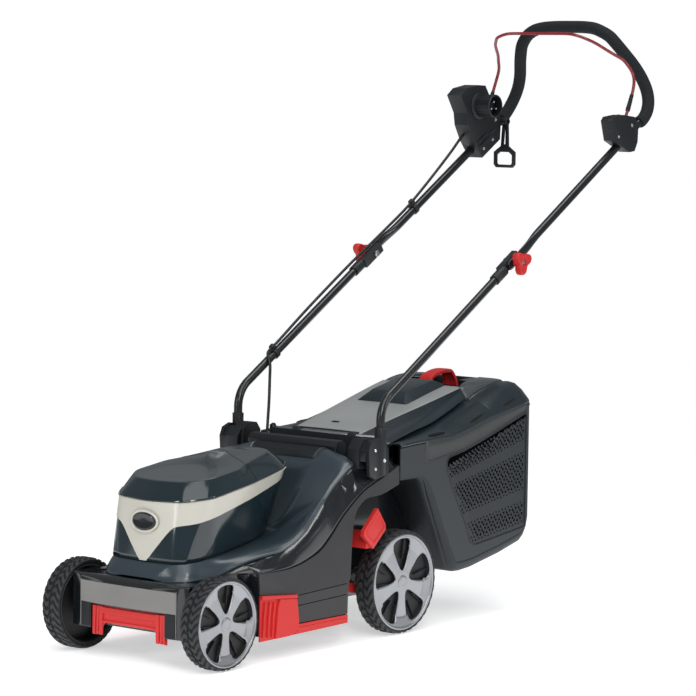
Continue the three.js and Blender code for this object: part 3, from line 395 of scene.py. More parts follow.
def prism_x(outline, low, high):
    """An outline in (y, z) pushed along X."""
    return stack([[(low, y, z) for y, z in outline], [(high, y, z) for y, z in outline]])


def prism_y(outline, low, high):
    return stack([[(x, low, z) for x, z in outline], [(x, high, z) for x, z in outline]])


def combine(*shapes):
    """Several shapes as one."""
    vertices, faces = [], []
    for more_vertices, more_faces in shapes:
        start = len(vertices)
        vertices += more_vertices
        faces += [tuple(start + i for i in face) for face in more_faces]
    return vertices, faces


def flip(shape):
    """The mirror image of a shape across the centre line."""
    vertices, faces = shape
    return [(-x, y, z) for x, y, z in vertices], [tuple(reversed(face)) for face in faces]


def sided(shape, side):
    return shape if side > 0 else flip(shape)


def whole(shape):
    """A left half and its mirror image."""
    return combine(shape, flip(shape))


def turn(k, count):
    """Angle of step k on a full circle."""
    return 2 * math.pi * k / count


def circle(x, y, z, radius, count):
    """Ring round an axis along X."""
    return [(x, y + radius * math.cos(turn(k, count)),
             z + radius * math.sin(turn(k, count))) for k in range(count)]


def surface_of(made):
    """The finished surface of a piece, to lay seams and details on."""
    graph = bpy.context.evaluated_depsgraph_get()
    return BVHTree.FromObject(made, graph)


def drop(tree, x, y, lift=0.0):
    """The point of a surface straight below (x, y)."""
    start = P(x, y, 1000)
    hit = tree.ray_cast(start, Vector((0, 0, -1)))[0]
    return (x, y, (hit.z * 1000 if hit else 0) + lift)


SIDES = (("left", 1), ("right", -1))


def pair(name, shape, look, body=ROOT, replaces=(), **finish):
    """A left piece and its mirror image; an asterisk in a name stands for the side."""
    for word, side in SIDES:
        own = [node.replace("*", word) for node in replaces]
        piece(name.replace("*", word), sided(shape, side), look, body.replace("*", word), own, **finish)


# ------------------------------------------------------------------ wheels

WHEELS = {
    "front": {"y": 0, "radius": 82, "outer": 185, "width": 42},
    "rear": {"y": 507.5, "radius": 96.5, "outer": 173.5, "width": 42},
}
SPOKES = 5
LUGS = 34
SEAT_SHARE = 0.885                  # radius of the tyre's seat over tyre radius
RIM_SHARE = 0.93                    # rim radius over tyre radius


def tyre_shape(wheel):
    """Carcass of the tyre, with two rows of hooked lugs that wrap over its shoulders."""
    radius, outer, width = wheel["radius"], wheel["outer"], wheel["width"]
    seat = radius * SEAT_SHARE
    lip = radius * RIM_SHARE
    half = [(2.8, seat), (2.4, lip - 1), (0.9, lip + 0.4), (0.5, lip + 1.4), (1.2, radius - 3.6),
            (3.4, radius - 2.9), (8, radius - 2.5), (width / 2, radius - 2.3)]
    profile = [(outer - x, r) for x, r in half] + [(outer - width + x, r) for x, r in half[-2::-1]]
    reach = [(0.7, 4.2), (1.2, 2.6), (4.2, 1.0), (8, 0.2), (11, 0.0), (14.5, 0.0), (18.5, 0.0)]
    hook = [-0.25, -0.2, -0.05, 0.3, 0.62, 0.7, 0.42]
    pitch = turn(1, LUGS)
    wide = 0.26 * pitch
    shapes = [lathe_x(profile, wheel["y"], radius)]
    for i in range(LUGS):
        for side in (1, -1):
            rings = []
            for (inset, depth), lean in zip(reach, hook):
                at = (i + (0.5 if side < 0 else 0) + side * lean) * pitch
                x_top = outer - inset if side > 0 else outer - width + inset
                x_low = x_top - side * (1.6 if depth > 2 else 0.2)
                spread = wide * (0.8 if depth > 4 else 1)
                ring = []
                for x, r, angle in ((x_top, radius - depth, at - spread),
                                    (x_top, radius - depth, at + spread),
                                    (x_low, radius - depth - 3.4, at + spread * 1.25),
                                    (x_low, radius - depth - 3.4, at - spread * 1.25)):
                    ring.append((x, wheel["y"] + r * math.cos(angle), radius + r * math.sin(angle)))
                rings.append(ring)
            shapes.append(stack(rings))
    return combine(*shapes)


# share of each spoke's sector that metal takes up, from the hub (0) to the rim (1)
SPOKE_WIDTH = [(0.0, 1.0), (0.235, 1.0), (0.25, 0.86), (0.275, 0.7), (0.31, 0.6), (0.36, 0.53),
               (0.43, 0.475), (0.52, 0.445), (0.62, 0.425), (0.8, 0.42), (0.84, 0.44), (0.87, 0.5),
               (0.89, 0.6), (0.905, 0.76), (0.912, 1.0), (1.0, 1.0)]


def rim_shape(wheel):
    """Five-spoke face: flat hub, dished spokes, a crease where the rim band starts, and a bright lip."""
    radius, outer = wheel["radius"], wheel["outer"]
    rim = radius * RIM_SHARE
    stations = [(0.0, 4.4), (0.12, 4.4), (0.2, 4.5), (0.235, 4.6), (0.25, 4.7), (0.262, 4.8), (0.275, 4.8),
                (0.29, 4.9), (0.31, 5.0), (0.335, 5.0), (0.36, 5.1), (0.395, 5.2), (0.43, 5.4),
                (0.475, 5.5), (0.52, 5.7), (0.57, 5.9), (0.62, 6.1), (0.67, 6.3), (0.715, 6.5), (0.73, 6.3),
                (0.745, 5.7), (0.77, 5.3), (0.8, 4.9), (0.82, 4.6), (0.84, 4.3), (0.855, 4.1), (0.87, 3.9),
                (0.88, 3.7), (0.89, 3.6), (0.898, 3.5), (0.905, 3.4), (0.912, 3.3), (0.925, 3.1),
                (0.935, 2.9), (0.942, 1.4), (0.95, 0.6), (0.965, 0.2), (0.98, 0.3), (0.992, 0.9),
                (1.0, 2.2)]
    across = 14
    vertices, faces = [], []
    for spoke in range(SPOKES):
        centre = math.pi / 2 + math.pi / SPOKES + turn(spoke, SPOKES)
        start = len(vertices)
        for share, inset in stations:
            half = math.pi / SPOKES * height_on(SPOKE_WIDTH, share)
            flare = 0.05 if 0.735 < share < 0.89 else 0
            open_row = 0.24 < share < 0.91
            for k in range(across + 1):
                s = 2 * k / across - 1
                angle = centre + half * s + (flare * s if s > 0 else 0)
                fall = 1.3 if open_row and abs(s) > 0.99 else 0
                r = rim * share
                vertices.append((outer - inset - fall, wheel["y"] + r * math.cos(angle),
                                 radius + r * math.sin(angle)))
        faces += [tuple(start + i for i in face) for face in grid_faces(len(stations), across + 1)]
    return vertices, faces


def barrel_shape(wheel):
    """Black inner half of the wheel: drum, web with radial fins, and hub."""
    radius, outer, width = wheel["radius"], wheel["outer"], wheel["width"]
    rim = radius * SEAT_SHARE - 0.6
    profile = [(outer - 3.4, rim - 0.5), (outer - 3.5, rim - 3.5), (outer - 12, rim - 5),
               (outer - 15, rim * 0.6), (outer - 12, 17), (outer - 7, 14), (outer - 7, 6),
               (outer - width + 2, 6), (outer - width + 2, 14), (outer - 19, 17), (outer - 19, rim * 0.6),
               (outer - 16, rim - 6), (outer - width + 4, rim - 4), (outer - width + 2, rim - 1.5),
               (outer - width + 3, rim)]
    shapes = [lathe_x(profile, wheel["y"], radius)]
    fins = 15
    for i in range(fins):
        angle = turn(i + 0.5, fins)
        cos, sin = math.cos(angle), math.sin(angle)
        ring = []
        for r, side in ((rim * 0.5, -0.6), (rim - 4.2, -0.6), (rim - 4.2, 0.6), (rim * 0.5, 0.6)):
            ring.append((wheel["y"] + cos * r - sin * side, radius + sin * r + cos * side))
        shapes.append(stack([[(outer - 17, y, z) for y, z in ring],
                             [(outer - 8.5, y, z) for y, z in ring]]))
    return combine(*shapes)


def hub_cap_shape(wheel):
    outer = wheel["outer"]
    profile = [(outer - 6, 0.01), (outer - 6, 13), (outer - 3.9, 12.6), (outer - 3.3, 11.6),
               (outer - 3.1, 8), (outer - 3.5, 7.4), (outer - 3.5, 0.01)]
    return lathe_x(profile, wheel["y"], wheel["radius"], 48, closed=False)


def add_wheels():
    for end, wheel in WHEELS.items():
        body = f"wheel_{end}_*"
        pair(f"tread_{end}_*", tyre_shape(wheel), TYRE, body, [f"tyre_{end}_*"], smooth=35, merge=False)
        pair(f"rim_face_{end}_*", rim_shape(wheel), RIM, body, [f"wheel_{end}_*"], smooth=38, solid=3.2)
        pair(f"rim_barrel_{end}_*", barrel_shape(wheel), RIM_DARK, body, merge=False)
        pair(f"hub_cap_{end}_*", hub_cap_shape(wheel), RIM, body)
    for node in ("front_axle", "rear_axle", "height_link", "motor_shaft", "cutting_blade", "blade_bolt",
                 "motor_stator", "flap_rod", "fold_bolt_left", "fold_bolt_right"):
        soften(node, STEEL, 0.4)
    soften("blade_carrier", BLACK_PLASTIC, 0.6)


# ------------------------------------------------------------------ deck, cover and sides

# y, then height at the middle, then (x, z) of the ridge, the shoulder and the lip
COVER = [
    (-33, 149.5, 30, 149.5, 45, 149, 60, 148.5), (-26, 160, 45, 160, 62, 151, 75, 149),
    (-17, 173.5, 60, 173, 76, 160, 88, 149.5), (-6, 176, 80, 176, 92, 162, 98, 150),
    (8, 177.8, 91, 177.8, 100, 164, 105, 152), (25, 179.5, 97, 179.5, 104, 168, 111, 154),
    (60, 183, 100, 183, 112, 174, 121, 162), (97, 186.7, 95, 186.7, 118, 184, 136, 176),
    (136, 190.6, 90, 190.6, 130, 193, 153, 187), (172, 194.2, 84, 194.2, 140, 199, 161, 193),
    (204, 197.4, 78, 197.4, 146, 209, 165, 206), (232, 200.2, 68, 200.2, 146, 226, 165, 224),
    (258, 202.8, 60, 203.5, 146, 248, 165, 248), (278, 204.6, 60, 206, 146, 265, 164.5, 267),
    (286, 205, 66, 230, 146, 272, 164, 274), (311, 207, 69, 266, 143, 292, 160, 291),
    (335, 209, 73, 298, 141, 309, 158, 306), (357, 330, 77, 330, 139, 324, 155, 316),
    (371, 345, 80, 346, 138, 332, 154, 323), (383, 350, 82, 350, 130, 337, 149, 328),
]
WELL_COLUMNS, WELL_FROM = 3, 356    # grid columns and y of the cover's rear middle, made black: painted shade for the hollow there
# (y, z) upper edge of each side panel, and the edge of its wheel arch
PANEL_TOP = [(97, 160), (132, 158), (175, 159), (211, 164), (247, 174), (272, 185), (298, 206), (327, 234),
             (357, 257), (390, 278), (420, 290.5), (447, 300), (490, 316)]
ARCH = [(346, 57), (352, 136), (356, 200), (366, 240), (395, 262), (440, 266), (490, 280)]


def add_cover():
    """Slate cover with rolled lips, a black rear middle that is painted shade for the hollow behind the
    hood, and a plate below the flap's hinge.
    """
    front = [row for row in COVER if row[0] <= 258]
    rear = [row for row in COVER if row[0] >= 258]
    skin = []
    for row in curve_through(front, 4)[:-1] + curve_through(rear, 4):
        y, middle_z, ridge_x, ridge_z, shoulder_x, shoulder_z, lip_x, lip_z = row
        inner = [(0, middle_z), (ridge_x * 0.5, middle_z + (ridge_z - middle_z) * 0.1),
                 (ridge_x * 0.9, middle_z + (ridge_z - middle_z) * 0.75)]
        dense = curve_through([(ridge_x, ridge_z), (shoulder_x, shoulder_z), (lip_x, lip_z)], 5)
        roll = [(lip_x + 0.9, lip_z - 0.8), (lip_x + 1.1, lip_z - 2.2), (lip_x + 0.6, lip_z - 4.5)]
        skin.append([(x, y, z) for x, z in inner + dense + roll])
    columns = len(skin[0])
    vertices = [point for row in skin for point in row]
    slate, well = [], []
    # Painted shade: rear middle faces take black plastic to stand for the shade of the hollow there.
    for face in grid_faces(len(skin), columns):
        in_well = face[0] % columns < WELL_COLUMNS and vertices[face[0]][1] > WELL_FROM
        (well if in_well else slate).append(face)
    piece("cover_skin", whole((vertices, slate)), SLATE, replaces=["deck_cover"], smooth=50, solid=2.6,
          loose=True)
    piece("cover_well_shade", whole((vertices, well)), BLACK_PLASTIC, smooth=60, solid=2.0, loose=True)
    apron = [(466, 300), (470, 300), (474.5, 363), (471, 364)]
    piece("hinge_apron", prism_x(apron, -126, 126), BLACK_PLASTIC, bevel=0.8)


def add_side_bands():
    """Glossy band between the cover's lip and the matte panel on each side."""
    rows = []
    lips = [(row[0], row[6], row[7]) for row in COVER if row[0] >= 60] + [(400, 150, 330), (420, 150, 331),
                                                                          (447, 150, 333), (480, 150, 340)]
    for y, lip_x, lip_z in curve_through(lips, 4):
        low = height_on(PANEL_TOP, y) - 2
        edge_x = 168.6 if y > 110 else 168.6 - (110 - y) * 0.9
        edge_x = max(edge_x, lip_x + 2)
        top = lip_z - 4.2
        row = []
        for k in range(9):
            t = k / 8
            bulge = 1.6 * math.sin(math.pi * t)
            row.append((lip_x - 0.6 + (edge_x + 1.6 - lip_x) * t ** 0.7 + bulge * 0.4, y,
                        between(top, low, t)))
        rows.append(row)
    pair("side_band_*", sheet(rows), BLACK_GLOSS, smooth=60, solid=2.0)


def add_side_panels():
    """Matte panel with two long steps at its lower rear."""
    top = curve_through([(y, z - 1.5) for y, z in PANEL_TOP], 4)
    arch = curve_through([(y + 0.3, z) for y, z in ARCH], 5)
    front = [(100, 119.3), (201, 107.5)]
    arch_above = [point for point in arch if point[1] > 112]
    upper = front + [(202.5, 108), (347.5, 114)] + arch_above + top[::-1]
    middle = [(202.7, 106.8), (202.9, 89.4), (346.3, 94), (347.4, 112.8)]
    lower = [(202.9, 88.2), (203, 57.4), (345.6, 57.4), (346.2, 92.8)]
    pair("panel_upper_*", prism_x(upper, 168.4, 171.6), PANEL_GREY, replaces=["side_panel_*"], bevel=0.8)
    pair("panel_middle_*", prism_x(middle, 168.4, 171.1), PANEL_GREY, bevel=0.8)
    pair("panel_lower_*", prism_x(lower, 168.4, 170.6), PANEL_GREY, bevel=0.8)


def add_skirts():
    """Red foot at each side: a plate with a ledge, a raised block with a bevelled edge and slanted fins."""
    plate = [(100, 36.5), (345, 41), (345, 56), (201, 56), (200, 106), (197, 110), (100, 118)]
    block = [(138, 38), (176, 38.6), (199, 47), (202.5, 60), (197, 103), (186, 105), (150, 108), (145, 96)]
    ledge = [(100, 112.5), (196, 104.5), (197.5, 108), (197, 110.5), (100, 119)]
    rail = [(203, 42.5), (343, 45), (343, 50.5), (203, 50)]
    pair("skirt_plate_*", prism_x(plate, 168.4, 171.8), RED, replaces=["side_skirt_*"], bevel=0.8)
    pair("skirt_block_*", prism_x(block, 171, 176.6), RED, bevel=1.6)
    pair("skirt_ledge_*", prism_x(ledge, 171, 177), RED, bevel=1.0)
    for i, (at, foot) in enumerate(((104, 44), (117, 43), (129, 42))):
        fin = [(at, foot), (at + 3.2, foot), (at + 4.4, 75), (at + 9.2, 103 - i), (at + 5.2, 107 - i),
               (at + 1.4, 78)]
        pair(f"skirt_fin_*_{i + 1}", prism_x(fin, 171, 176), RED, bevel=0.8)
    pair("skirt_rail_*", prism_x(rail, 171, 173.2), RED, bevel=0.9)


def mirror_outline(half):
    return list(half) + [(-x, z) for x, z in reversed(half)]


def add_comb():
    """Red comb under the bumper: arched bar with a stepped lower edge and fluted end blocks."""
    arch = curve_through([(57, 63.5), (62, 61), (66, 52), (69, 42)], 4)
    outline = mirror_outline(arch + [(86.6, 40), (86.6, 93.5)])
    piece("comb_plate", prism_y(outline, -49.5, -46.7), RED, replaces=["front_comb"], bevel=0.6)
    rim = [(x + 0.6 if x > 57.5 else x, z) for x, z in arch]
    outer = [(x + 3.2 if x > 57.5 else x, z + 4.5) for x, z in arch[::-1]]
    rib = [(0, rim[0][1]), *rim, (75, 41.5), (75, 46), *outer, (0, outer[-1][1])]
    pair("comb_edge_*", prism_y(rib, -51.6, -49), RED, bevel=0.6)
    for i, (x0, x1, reach) in enumerate(((64, 71, -53), (73.5, 78, -52.4), (80.5, 86.4, -53.4))):
        post = [(x0, 41.5), (x1, 41), (x1, 93), (x0 - 2, 93)]
        pair(f"comb_flute_*_{i + 1}", prism_y(post, reach, -48.5), RED, bevel=1.0)
    piece("comb_ledge", prism_y(mirror_outline([(63, 80), (64, 86), (64, 91.5)]), -52.4, -48.5), RED,
          bevel=1.0)


def bow_y(x):
    """Front face of the bumper, which bows forward in the middle."""
    return height_on([(0, -60.2), (60, -58.7), (112.5, -54.2), (137, -49.2)], abs(x))


def add_bumper():
    """Black bumper: warm-grey plate along its face, a dark one on each leg, and bright upright edges."""
    soften("front_apron", BLACK_GLOSS, 1.2, 18)
    across = [-112, -98, -80, -60, -45, -30, -15, 0, 15, 30, 45, 60, 80, 98, 112]
    levels = [97.5, 103, 112, 121, 131, 136]
    rows = [[(x, bow_y(x) - (0.0 if z < 132 else 0.4), z) for x in across] for z in levels]
    piece("bumper_face", sheet(rows), APRON_GREY, smooth=25, bevel=0.5, solid=-1.3)
    edge = [(112.8, bow_y(112.8) - 0.4, z) for z in (56, 70, 90, 98, 120, 137)]
    pair("bumper_edge_*", sweep(edge, 1.1, 8), APRON_GREY)
    leg = [[(x, bow_y(x) - 0.2, z) for x in (89, 95, 104, 111)] for z in (54.5, 60, 80, 96.5)]
    pair("bumper_leg_*", sheet(leg), BLACK_PLASTIC, bevel=0.4, solid=-1.0)


LEVER_OPENING = [(417, 236), (431, 214), (432, 206), (404, 182), (384, 200), (385, 206)]


def add_deck():
    soften("deck_shell", BLACK_GLOSS, 0.8)
    soften("discharge_chute", BLACK_GLOSS, 0.8)
    soften("carry_handle", BLACK_PLASTIC, 2.0, 25)
    soften("height_lever", RED, 1.6, 25)
    path = [(183.1, y, z) for y, z in LEVER_OPENING + LEVER_OPENING[:1]]
    piece("lever_rim", sweep(path, 1.3, 8), RED, "rear_axle")


# ------------------------------------------------------------------ motor hood

# (x, y) left halves in plan: where the hood meets the cover, the cap's edge and the cap's top
HOOD_FOOT = [(0, -17), (60, -13), (75, -8), (84, -4), (88, -1), (97, 55), (91, 100), (85, 144), (80, 170),
             (75, 194), (52, 258), (0, 275)]
CAP_EDGE = [(0, -11), (71, 1), (84, 12), (92, 22), (103, 38), (108, 50), (104, 121), (100, 164), (91, 217),
            (81, 269), (55, 306), (0, 312)]
CAP_TOP = [(0, 14), (51, 20), (77, 39), (86, 55), (92, 68), (91, 100), (90, 136), (77, 162), (62, 218),
           (50, 261), (30, 276), (0, 278)]
HOOD_MIDDLE_Y = 149
SMOOTHING_PASSES = 5


def foot_z(y):
    return 177.7 + 0.1 * y


def edge_z(y):
    return 282.7 + 0.142 * y


def top_z(y):
    return 311.6 + 0.142 * y


def hood_ring(half):
    """Smooth closed ring in plan from its left half."""
    dense = []
    for (x0, y0), (x1, y1) in zip(half, half[1:]):
        dense += [(x0 + (x1 - x0) * k / 8, y0 + (y1 - y0) * k / 8) for k in range(8)]
    dense.append(half[-1])
    ring = dense + [(-x, y) for x, y in dense[-2:0:-1]]
    for _ in range(SMOOTHING_PASSES):
        ring = [tuple((a + 2 * b + c) / 4 for a, b,
                      c in zip(ring[i - 1], ring[i], ring[(i + 1) % len(ring)]))
                for i in range(len(ring))]
    return ring


FOOT_RING, EDGE_RING, TOP_RING = hood_ring(HOOD_FOOT), hood_ring(CAP_EDGE), hood_ring(CAP_TOP)


def hood_point(column, t, proud=0.0):
    """A point of the hood's wall: t runs from its foot (0) to the cap's edge (1)."""
    (x0, y0), (x1, y1) = FOOT_RING[column], EDGE_RING[column]
    x, y = between(x0, x1, t), between(y0, y1, t)
    z = foot_z(y0) + (edge_z(y1) - foot_z(y0)) * t
    reach = math.hypot(x, y - HOOD_MIDDLE_Y)
    belly = proud + 1.0 * math.sin(math.pi * t)
    return (x + belly * x / reach, y + belly * (y - HOOD_MIDDLE_Y) / reach, z)


def trim_low(column):
    """How far down the cream trim reaches on a column of the wall, as t."""
    low, high = 0.0, 1.0
    for _ in range(24):
        t = (low + high) / 2
        x, y, z = hood_point(column, t)
        band = 243 + 0.222 * y
        vee = 177 + max(0, abs(x) - 8.5) * 1.23
        blend = 5.0
        edge = -blend * math.log(math.exp(-band / blend) + math.exp(-vee / blend)) if y < 60 else band
        if z < edge:
            low = t
        else:
            high = t
    return (low + high) / 2


def add_hood():
    columns = len(FOOT_RING)
    levels = [k / 14 for k in range(15)]
    wall = [[hood_point(c, t) for c in range(columns)] for t in levels]
    piece("hood_wall", stack(wall, cap_ends=False), PETROL, replaces=["motor_hood"], smooth=60, solid=2.4)
    shown = [c for c in range(columns) if hood_point(c, 0.8)[1] < 271]
    half = columns // 2
    shown = [c for c in shown if c > half] + [c for c in shown if c <= half]
    rows = []
    steps = 14
    for c in shown:
        low = trim_low(c)
        column = [hood_point(c, low + (0.985 - low) * k / steps, 1.3) for k in range(steps + 1)]
        edge = hood_point(c, 0.995, 3.0)
        rows.append([hood_point(c, low, 0.0)] + column + [edge, hood_point(c, 1.0, 0.6)])
    piece("hood_trim_skin", sheet(rows), CREAM, replaces=["hood_trim"], smooth=35, solid=1.2)
    add_badge()
    add_cap()


def add_badge():
    """Plain oval badge in a raised oval frame on the trim's front."""
    centre_z, y_face = 246, -16.6

    def oval(width, height, proud):
        ring = []
        for k in range(72):
            x, up = width * math.cos(turn(k, 72)), height * math.sin(turn(k, 72))
            ring.append((x, y_face + x * x * 0.0024 + up * 0.055 - proud, centre_z + up))
        return ring

    frame_rings = [oval(*size) for size in ((33, 20.5, -1.2), (33, 20.5, 0.4), (31.6, 19.2, 1.5),
                                            (29.6, 17.4, 1.6), (28.2, 16.0, 0.4), (27.6, 15.4, -0.9))]
    piece("badge_frame", stack(frame_rings, cap_ends=False), CREAM, smooth=50, merge=False, solid=0.8)
    plate_rings = [oval(*size) for size in ((27.2, 15, -1.6), (27.2, 15, -0.3), (25.8, 13.8, 1.5),
                                            (24.6, 12.8, 1.9), (22.4, 11, 1.2), (20, 9.4, 0.6),
                                            (10, 4.6, 0.5), (0.1, 0.1, 0.5))]
    piece("badge_plate", stack(plate_rings), BLACK_GLOSS, slot="black_plastic", replaces=["front_badge"])


def add_cap():
    """Hood cap: upright lip, broad facet, crowned top panel with a split line and a latch slot, both drawn
    as thin dark strips of painted shade.
    """
    columns = len(EDGE_RING)

    def ring_between(t, lift, inset):
        ring = []
        for (x0, y0), (x1, y1) in zip(EDGE_RING, TOP_RING):
            x, y = between(x0, x1, t), between(y0, y1, t)
            reach = math.hypot(x, y - HOOD_MIDDLE_Y)
            shrink = 1 - inset / reach
            z = edge_z(y0) + (top_z(y1) - edge_z(y0)) * t + lift
            ring.append((x * shrink, between(HOOD_MIDDLE_Y, y, shrink), z))
        return ring

    facet = [ring_between(0, -1.5, 2.0), ring_between(0, -1.2, -0.4), ring_between(0, 1.4, -0.8),
             ring_between(0.03, 2.4, -0.8)]
    facet += [ring_between(0.06 + 0.9 * k / 6, 1.6 + 0.8 * math.sin(math.pi * k / 6), 0) for k in range(7)]
    facet += [ring_between(1.0, 0.9, 0.8)]
    piece("cap_facet", stack(facet, cap_ends=False), PETROL, replaces=["hood_cap"], smooth=28, solid=2.0)

    def top_ring(scale, lift):
        return [(x * scale, between(HOOD_MIDDLE_Y, y, scale), top_z(y) + lift) for x,
                y in TOP_RING]

    top = [top_ring(0.996, 0.4), top_ring(0.99, 1.3), top_ring(0.975, 1.8)]
    for k in range(1, 9):
        angle = math.pi / 2 * k / 9
        top.append(top_ring(0.975 * math.cos(angle), 1.8 + 2.8 * math.sin(angle)))
    top += [top_ring(0.02, 4.6)]
    lid = piece("cap_top", stack(top), CAP_GREY, smooth=60)
    skin = surface_of(lid)
    # Painted shade: the split line is a thin dark strip laid on the cap, standing for the shade in its
    # groove.
    split = [drop(skin, x, 187 - x * x * 0.0035, 0.05) for x in range(-76, 77, 4)]
    split = [point for point in split if point[2] > 280]
    piece("cap_split_top", sweep(split, 0.55, 6), SEAM_SHADE, slot="hood_petrol")
    start_y = split[-1][1]
    facet_line = []
    for k in range(9):
        t = 1 - k / 8
        y = start_y + 6 * (1 - t)
        column = min(range(columns // 2),
                     key=lambda c: abs(TOP_RING[c][1] + (EDGE_RING[c][1] - TOP_RING[c][1]) * (1 - t) - y))
        (ex, ey), (tx, ty) = EDGE_RING[column], TOP_RING[column]
        facet_line.append((between(ex, tx, t) + 0.1, y, edge_z(ey) + (top_z(ty) - edge_z(ey)) * t + 1.9))
    pair("cap_split_*", sweep(facet_line, 0.55, 6), SEAM_SHADE, slot="hood_petrol")
    # Painted shade: a dark bead of black plastic, half sunk in the top, stands for the shade in the latch
    # slot.
    latch = [drop(skin, x, 222 + 0.2 * x, -0.9) for x in (-2, 6, 15, 24, 32)]
    piece("cap_latch", sweep(latch, [0.7, 1.7, 1.9, 1.7, 0.7], 10), BLACK_PLASTIC)


# ------------------------------------------------------------------ handle

SLOPE = math.radians(31.8)
BEND_Y, BEND_Z, BEND_RADIUS = 432.3, 431.2, 55
TUBE_X, TUBE_RADIUS, FOAM_RADIUS = 171.5, 8, 12.4
TUBE_SIDES = 32
BAIL_RADIUS = 3.1
LEAD_RADIUS = 2.8
GRIP_START = 972
FOLD_AT = 466.6
BAIL_Y, BAIL_Z = 1196, 936


def along_handle(x, along, above=0.0):
    return (x, BEND_Y + along * math.cos(SLOPE) - above * math.sin(SLOPE),
            BEND_Z + along * math.sin(SLOPE) + above * math.cos(SLOPE))


# the foam grip and the bail, from the left-hand tube to the middle
GRIP = [(171.7, 1259, 942), (172, 1276, 956), (168, 1290, 978), (160, 1295, 1003), (150, 1288, 1030),
        (140, 1273, 1055), (130, 1261, 1073), (120, 1250, 1090), (110, 1246, 1102), (100, 1243, 1112),
        (80, 1239, 1122), (60, 1244, 1127), (30, 1249, 1129), (0, 1250, 1129)]
BAIL = [(172, 1208, 960), (172, 1233, 1015), (165, 1234, 1039), (160, 1226, 1052), (155, 1217, 1063),
        (150, 1210, 1068), (140, 1192, 1078), (130, 1172, 1090), (120, 1161, 1098), (110, 1150, 1104),
        (100, 1147, 1108), (80, 1143, 1113), (60, 1150, 1114), (0, 1155, 1114)]


def both_halves(half):
    return list(half) + [(-x, y, z) for x, y, z in reversed(half[:-1])]


def relaxed(points, passes=2):
    """The same route with its small kinks averaged out."""
    route = list(points)
    for _ in range(passes):
        route = [route[0]] + [tuple((a + 2 * b + c) / 4 for a, b, c in zip(*trio))
                              for trio in zip(route, route[1:], route[2:])] + [route[-1]]
    return route


def flattened_end(along_from, along_to):
    """Half widths (along X, square to the tube) where the tube is pressed flat for the fold bolt."""
    steps = 10
    rows = []
    for k in range(steps + 1):
        share = k / steps
        ease = share * share * (3 - 2 * share)
        along = between(along_from, along_to, share)
        rows.append((along, 3.6 + 4.4 * ease, 9.6 - 1.6 * ease, 5.0 * (1 - ease)))
    return rows


def add_tubes():
    reach = BEND_RADIUS * math.tan((math.pi / 2 - SLOPE) / 2)
    bend = []
    for k in range(25):
        angle = math.pi - (math.pi / 2 - SLOPE) * k / 24
        bend.append((TUBE_X, BEND_Y + BEND_RADIUS + BEND_RADIUS * math.cos(angle),
                     BEND_Z - reach + BEND_RADIUS * math.sin(angle)))
    lower = [(TUBE_X, BEND_Y, 306.5), (TUBE_X, BEND_Y, 350)] + bend + [along_handle(TUBE_X, 436)]
    pair("tube_*", sweep(lower, TUBE_RADIUS, TUBE_SIDES), TUBE_PAINT, replaces=["lower_tube_*"], smooth=40)
    sections = []
    start = [(446, 3.4, 2.0, 5.0), (447, 3.6, 6.5, 5.0), (450, 3.6, 8.6, 5.0), (456, 3.6, 9.6, 5.0),
             (500, 3.6, 9.6, 5.0)]
    straight = [(760, 8, 8, 0), (GRIP_START - 8, 8, 8, 0)]
    for along, half_x, half_n, shift in start + flattened_end(505, 565)[1:] + straight:
        ring = []
        for k in range(TUBE_SIDES):
            angle = turn(k, TUBE_SIDES)
            ring.append(along_handle(TUBE_X + shift + half_x * math.cos(angle), along,
                                     half_n * math.sin(angle)))
        sections.append(ring)
    arms = stack(sections)
    piece("handle_arm_left", arms, TUBE_PAINT, "upper_handle", ["upper_tube"], smooth=40)
    piece("handle_arm_right", flip(arms), TUBE_PAINT, "upper_handle", smooth=40)
    foam_half = [along_handle(TUBE_X, GRIP_START - 8), along_handle(TUBE_X, GRIP_START - 4)] + GRIP
    dense = relaxed(curve_through(both_halves(foam_half), 6), 10)
    radii = []
    for k in range(len(dense)):
        near = min(k, len(dense) - 1 - k)
        radii.append(FOAM_RADIUS - 2.4 * max(0, 1 - near / 4) ** 2)
    piece("grip_foam", sweep(dense, radii, TUBE_SIDES), FOAM, "upper_handle", ["foam_grip"], smooth=50)


def add_bail():
    dense = relaxed(curve_through(both_halves([(172, BAIL_Y, BAIL_Z)] + BAIL), 6), 10)
    piece("bail_rod", sweep(dense, BAIL_RADIUS, 20), BAIL_PAINT, "switch_bail", ["switch_bail"], smooth=50)
    pair("bail_pin_*", sweep([(x, BAIL_Y, BAIL_Z) for x in (165, 172, 179)], 3, 16), STEEL, "switch_bail")
    boot = [(172, 1209.5, 963), (172, 1213, 970.5), (172, 1216, 977), (172, 1219.5, 985), (172, 1224, 995)]
    ribs = curve_through(boot, 5)
    radii = [4.6 - 0.9 * k / len(ribs) + (0.5 if k % 3 == 0 else 0) for k in range(len(ribs))]
    pair("bail_boot_*", sweep(ribs, radii, 20), BLACK_PLASTIC, "switch_bail")


